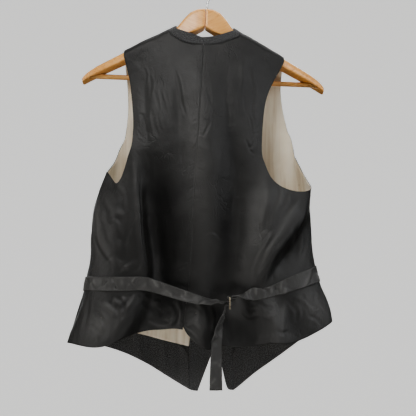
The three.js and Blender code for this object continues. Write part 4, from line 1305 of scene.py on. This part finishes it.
def hangerBar():
    low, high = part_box("hanger_bar")
    radius = (high.y - low.y) / 2
    tilt = math.radians(2.4)
    bm = bmesh.new()
    length = (high.x - low.x) / math.cos(tilt) - 2 * radius * math.tan(tilt)
    bmesh.ops.create_cone(bm, cap_ends=True, segments=40, radius1=radius, radius2=radius, depth=length)
    caps = [e for e in bm.edges if all(abs(abs(v.co.z) - length / 2) < 1e-6 for v in e.verts)]
    bmesh.ops.bevel(bm, geom=caps, offset=0.6 * mm, segments=2, affect="EDGES", profile=0.5, material=-1)
    bmesh.ops.rotate(bm, verts=bm.verts, matrix=Matrix.Rotation(math.pi / 2 + tilt, 3, "Y"))
    bmesh.ops.translate(bm, verts=bm.verts, vec=(low + high) / 2)
    piece = newPiece("trouserBar", bm, "wood", woodMaterial("varnishedBar", 2.4))
    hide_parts("hanger_bar")
    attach(piece, "root")


def hangerHook():
    bm = bmesh.new()
    bm.from_mesh(nodes["hanger_hook"].data)
    bmesh.ops.remove_doubles(bm, verts=bm.verts, dist=1e-5)
    bmesh.ops.join_triangles(bm, faces=bm.faces, angle_face_threshold=0.7, angle_shape_threshold=0.9)
    piece = newPiece("steelHook", bm, "hook")
    subdivide(piece, 2)
    piece.data.shade_smooth()
    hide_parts("hanger_hook")
    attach(piece, "root")


hangerBar()
hangerHook()
print("hanger and buckle made")


# studio

studio = {
    "floorHeight": -1.70, "radius": 4.2, "bend": 0.9, "wallHeight": 11.0, "paper": (0.78, 0.78, 0.77),
    "glow": 0.85, "world": 0.03,
}


def studioPaper():
    material, tree, shader = newMaterial("studioPaper")
    place = addNode(tree, "ShaderNodeTexCoord")
    mottle = noiseNode(tree, place.outputs["Object"], 1.5, 2)
    paper = studio["paper"]
    base = colourRamp(tree, mottle, [(0.3, tuple(c * 0.97 for c in paper)), (0.7, paper)])
    tree.links.new(base, shader.inputs["Base Color"])
    setSockets(shader, Roughness=0.9, Emission_Color=(*paper, 1), Emission_Strength=studio["glow"])
    return material


def paleFloor():
    bm = bmesh.new()
    bmesh.ops.create_circle(bm, cap_ends=True, segments=72, radius=studio["radius"])
    bmesh.ops.translate(bm, verts=bm.verts, vec=(0, 0, studio["floorHeight"]))
    rim = bm.edges[:]
    raised = bmesh.ops.extrude_edge_only(bm, edges=rim)["geom"]
    wallTop = [g for g in raised if isinstance(g, bmesh.types.BMVert)]
    bmesh.ops.translate(bm, verts=wallTop, vec=(0, 0, studio["wallHeight"]))
    bmesh.ops.bevel(bm, geom=rim, offset=studio["bend"], segments=12, affect="EDGES", profile=0.5,
                    material=-1)
    mesh = bpy.data.meshes.new("paleFloor")
    bm.to_mesh(mesh)
    bm.free()
    floor = bpy.data.objects.new("paleFloor", mesh)
    collection.objects.link(floor)
    mesh.materials.append(studioPaper())
    mesh.shade_smooth()
    floor.visible_diffuse = False  # the paper is seen, and doesn't wash out the dark cloth
    floor.visible_glossy = False


def softLight(name, place, target, size, power, colour=(1, 1, 1)):
    light = bpy.data.lights.new(name, "AREA")
    light.shape = "RECTANGLE"
    light.size, light.size_y = size
    light.energy = power
    light.color = colour
    lamp = bpy.data.objects.new(name, light)
    collection.objects.link(lamp)
    lamp.location = place
    lamp.rotation_euler = (Vector(target) - Vector(place)).to_track_quat("-Z", "Y").to_euler()
    lamp.visible_camera = False


paleFloor()
middle = (0, 0, -0.42)
ringRadius = 2.1
# lights round the back: azimuth and elevation from the middle in degrees, size, power and colour
ringLights = {
    "keyLight": (-20, 38, (0.7, 0.9), 17.5, (1.0, 0.99, 0.97)),
    "rightLight": (44, 26, (0.5, 1.4), 10, (0.985, 0.99, 1.0)),
    "sideLeft": (-82, 12, (0.3, 2.0), 10, (1.0, 0.985, 0.96)),
    "sideRight": (84, 12, (0.3, 2.0), 10, (0.97, 0.985, 1.0)),
    "lowLeft": (-60, -30, (0.6, 0.6), 8, (1.0, 0.98, 0.95)),
    "lowRight": (50, -30, (0.6, 0.6), 4, (1.0, 0.98, 0.95)),
}


def ringPlace(azimuth, elevation):
    turn = math.radians(azimuth)
    rise = math.radians(elevation)
    out = ringRadius * math.cos(rise)
    return math.sin(turn) * out, -math.cos(turn) * out, middle[2] + math.sin(rise) * ringRadius


for name, (azimuth, elevation, size, power, colour) in ringLights.items():
    softLight(name, ringPlace(azimuth, elevation), middle, size, power, colour)
softLight("hemLight", (-0.1, -1.1, -1.25), (-0.05, 0, -0.66), (0.5, 0.3), 3.5, (1.0, 0.98, 0.95))
softLight("topLight", (0.1, 0.3, 1.2), middle, (1.4, 1.0), 11)
softLight("chestKey", (0.7, 2.1, 0.4), middle, (0.5, 2.2), 17, (1.0, 0.99, 0.97))
softLight("chestFill", (-1.2, 1.8, 0.2), middle, (0.6, 2.0), 8, (0.97, 0.985, 1.0))
bpy.context.scene.view_settings.look = "AgX - Medium High Contrast"

world = bpy.data.worlds.new("studioWorld")
bpy.context.scene.world = world
world.use_nodes = True
world.node_tree.nodes["Background"].inputs["Color"].default_value = (1, 1, 1, 1)
world.node_tree.nodes["Background"].inputs["Strength"].default_value = studio["world"]

camera = {"place": (1.89, -1491.8, -587.9), "pitch": 6.0, "lens": 73.338, "sensor": 36}
view = bpy.data.cameras.new("photoCamera")
view.lens = camera["lens"]
view.sensor_width = camera["sensor"]
viewer = bpy.data.objects.new("photoCamera", view)
collection.objects.link(viewer)
viewer.location = [v * mm for v in camera["place"]]
viewer.rotation_euler = (math.radians(90 + camera["pitch"]), 0, 0)
bpy.context.scene.camera = viewer
print("studio set")
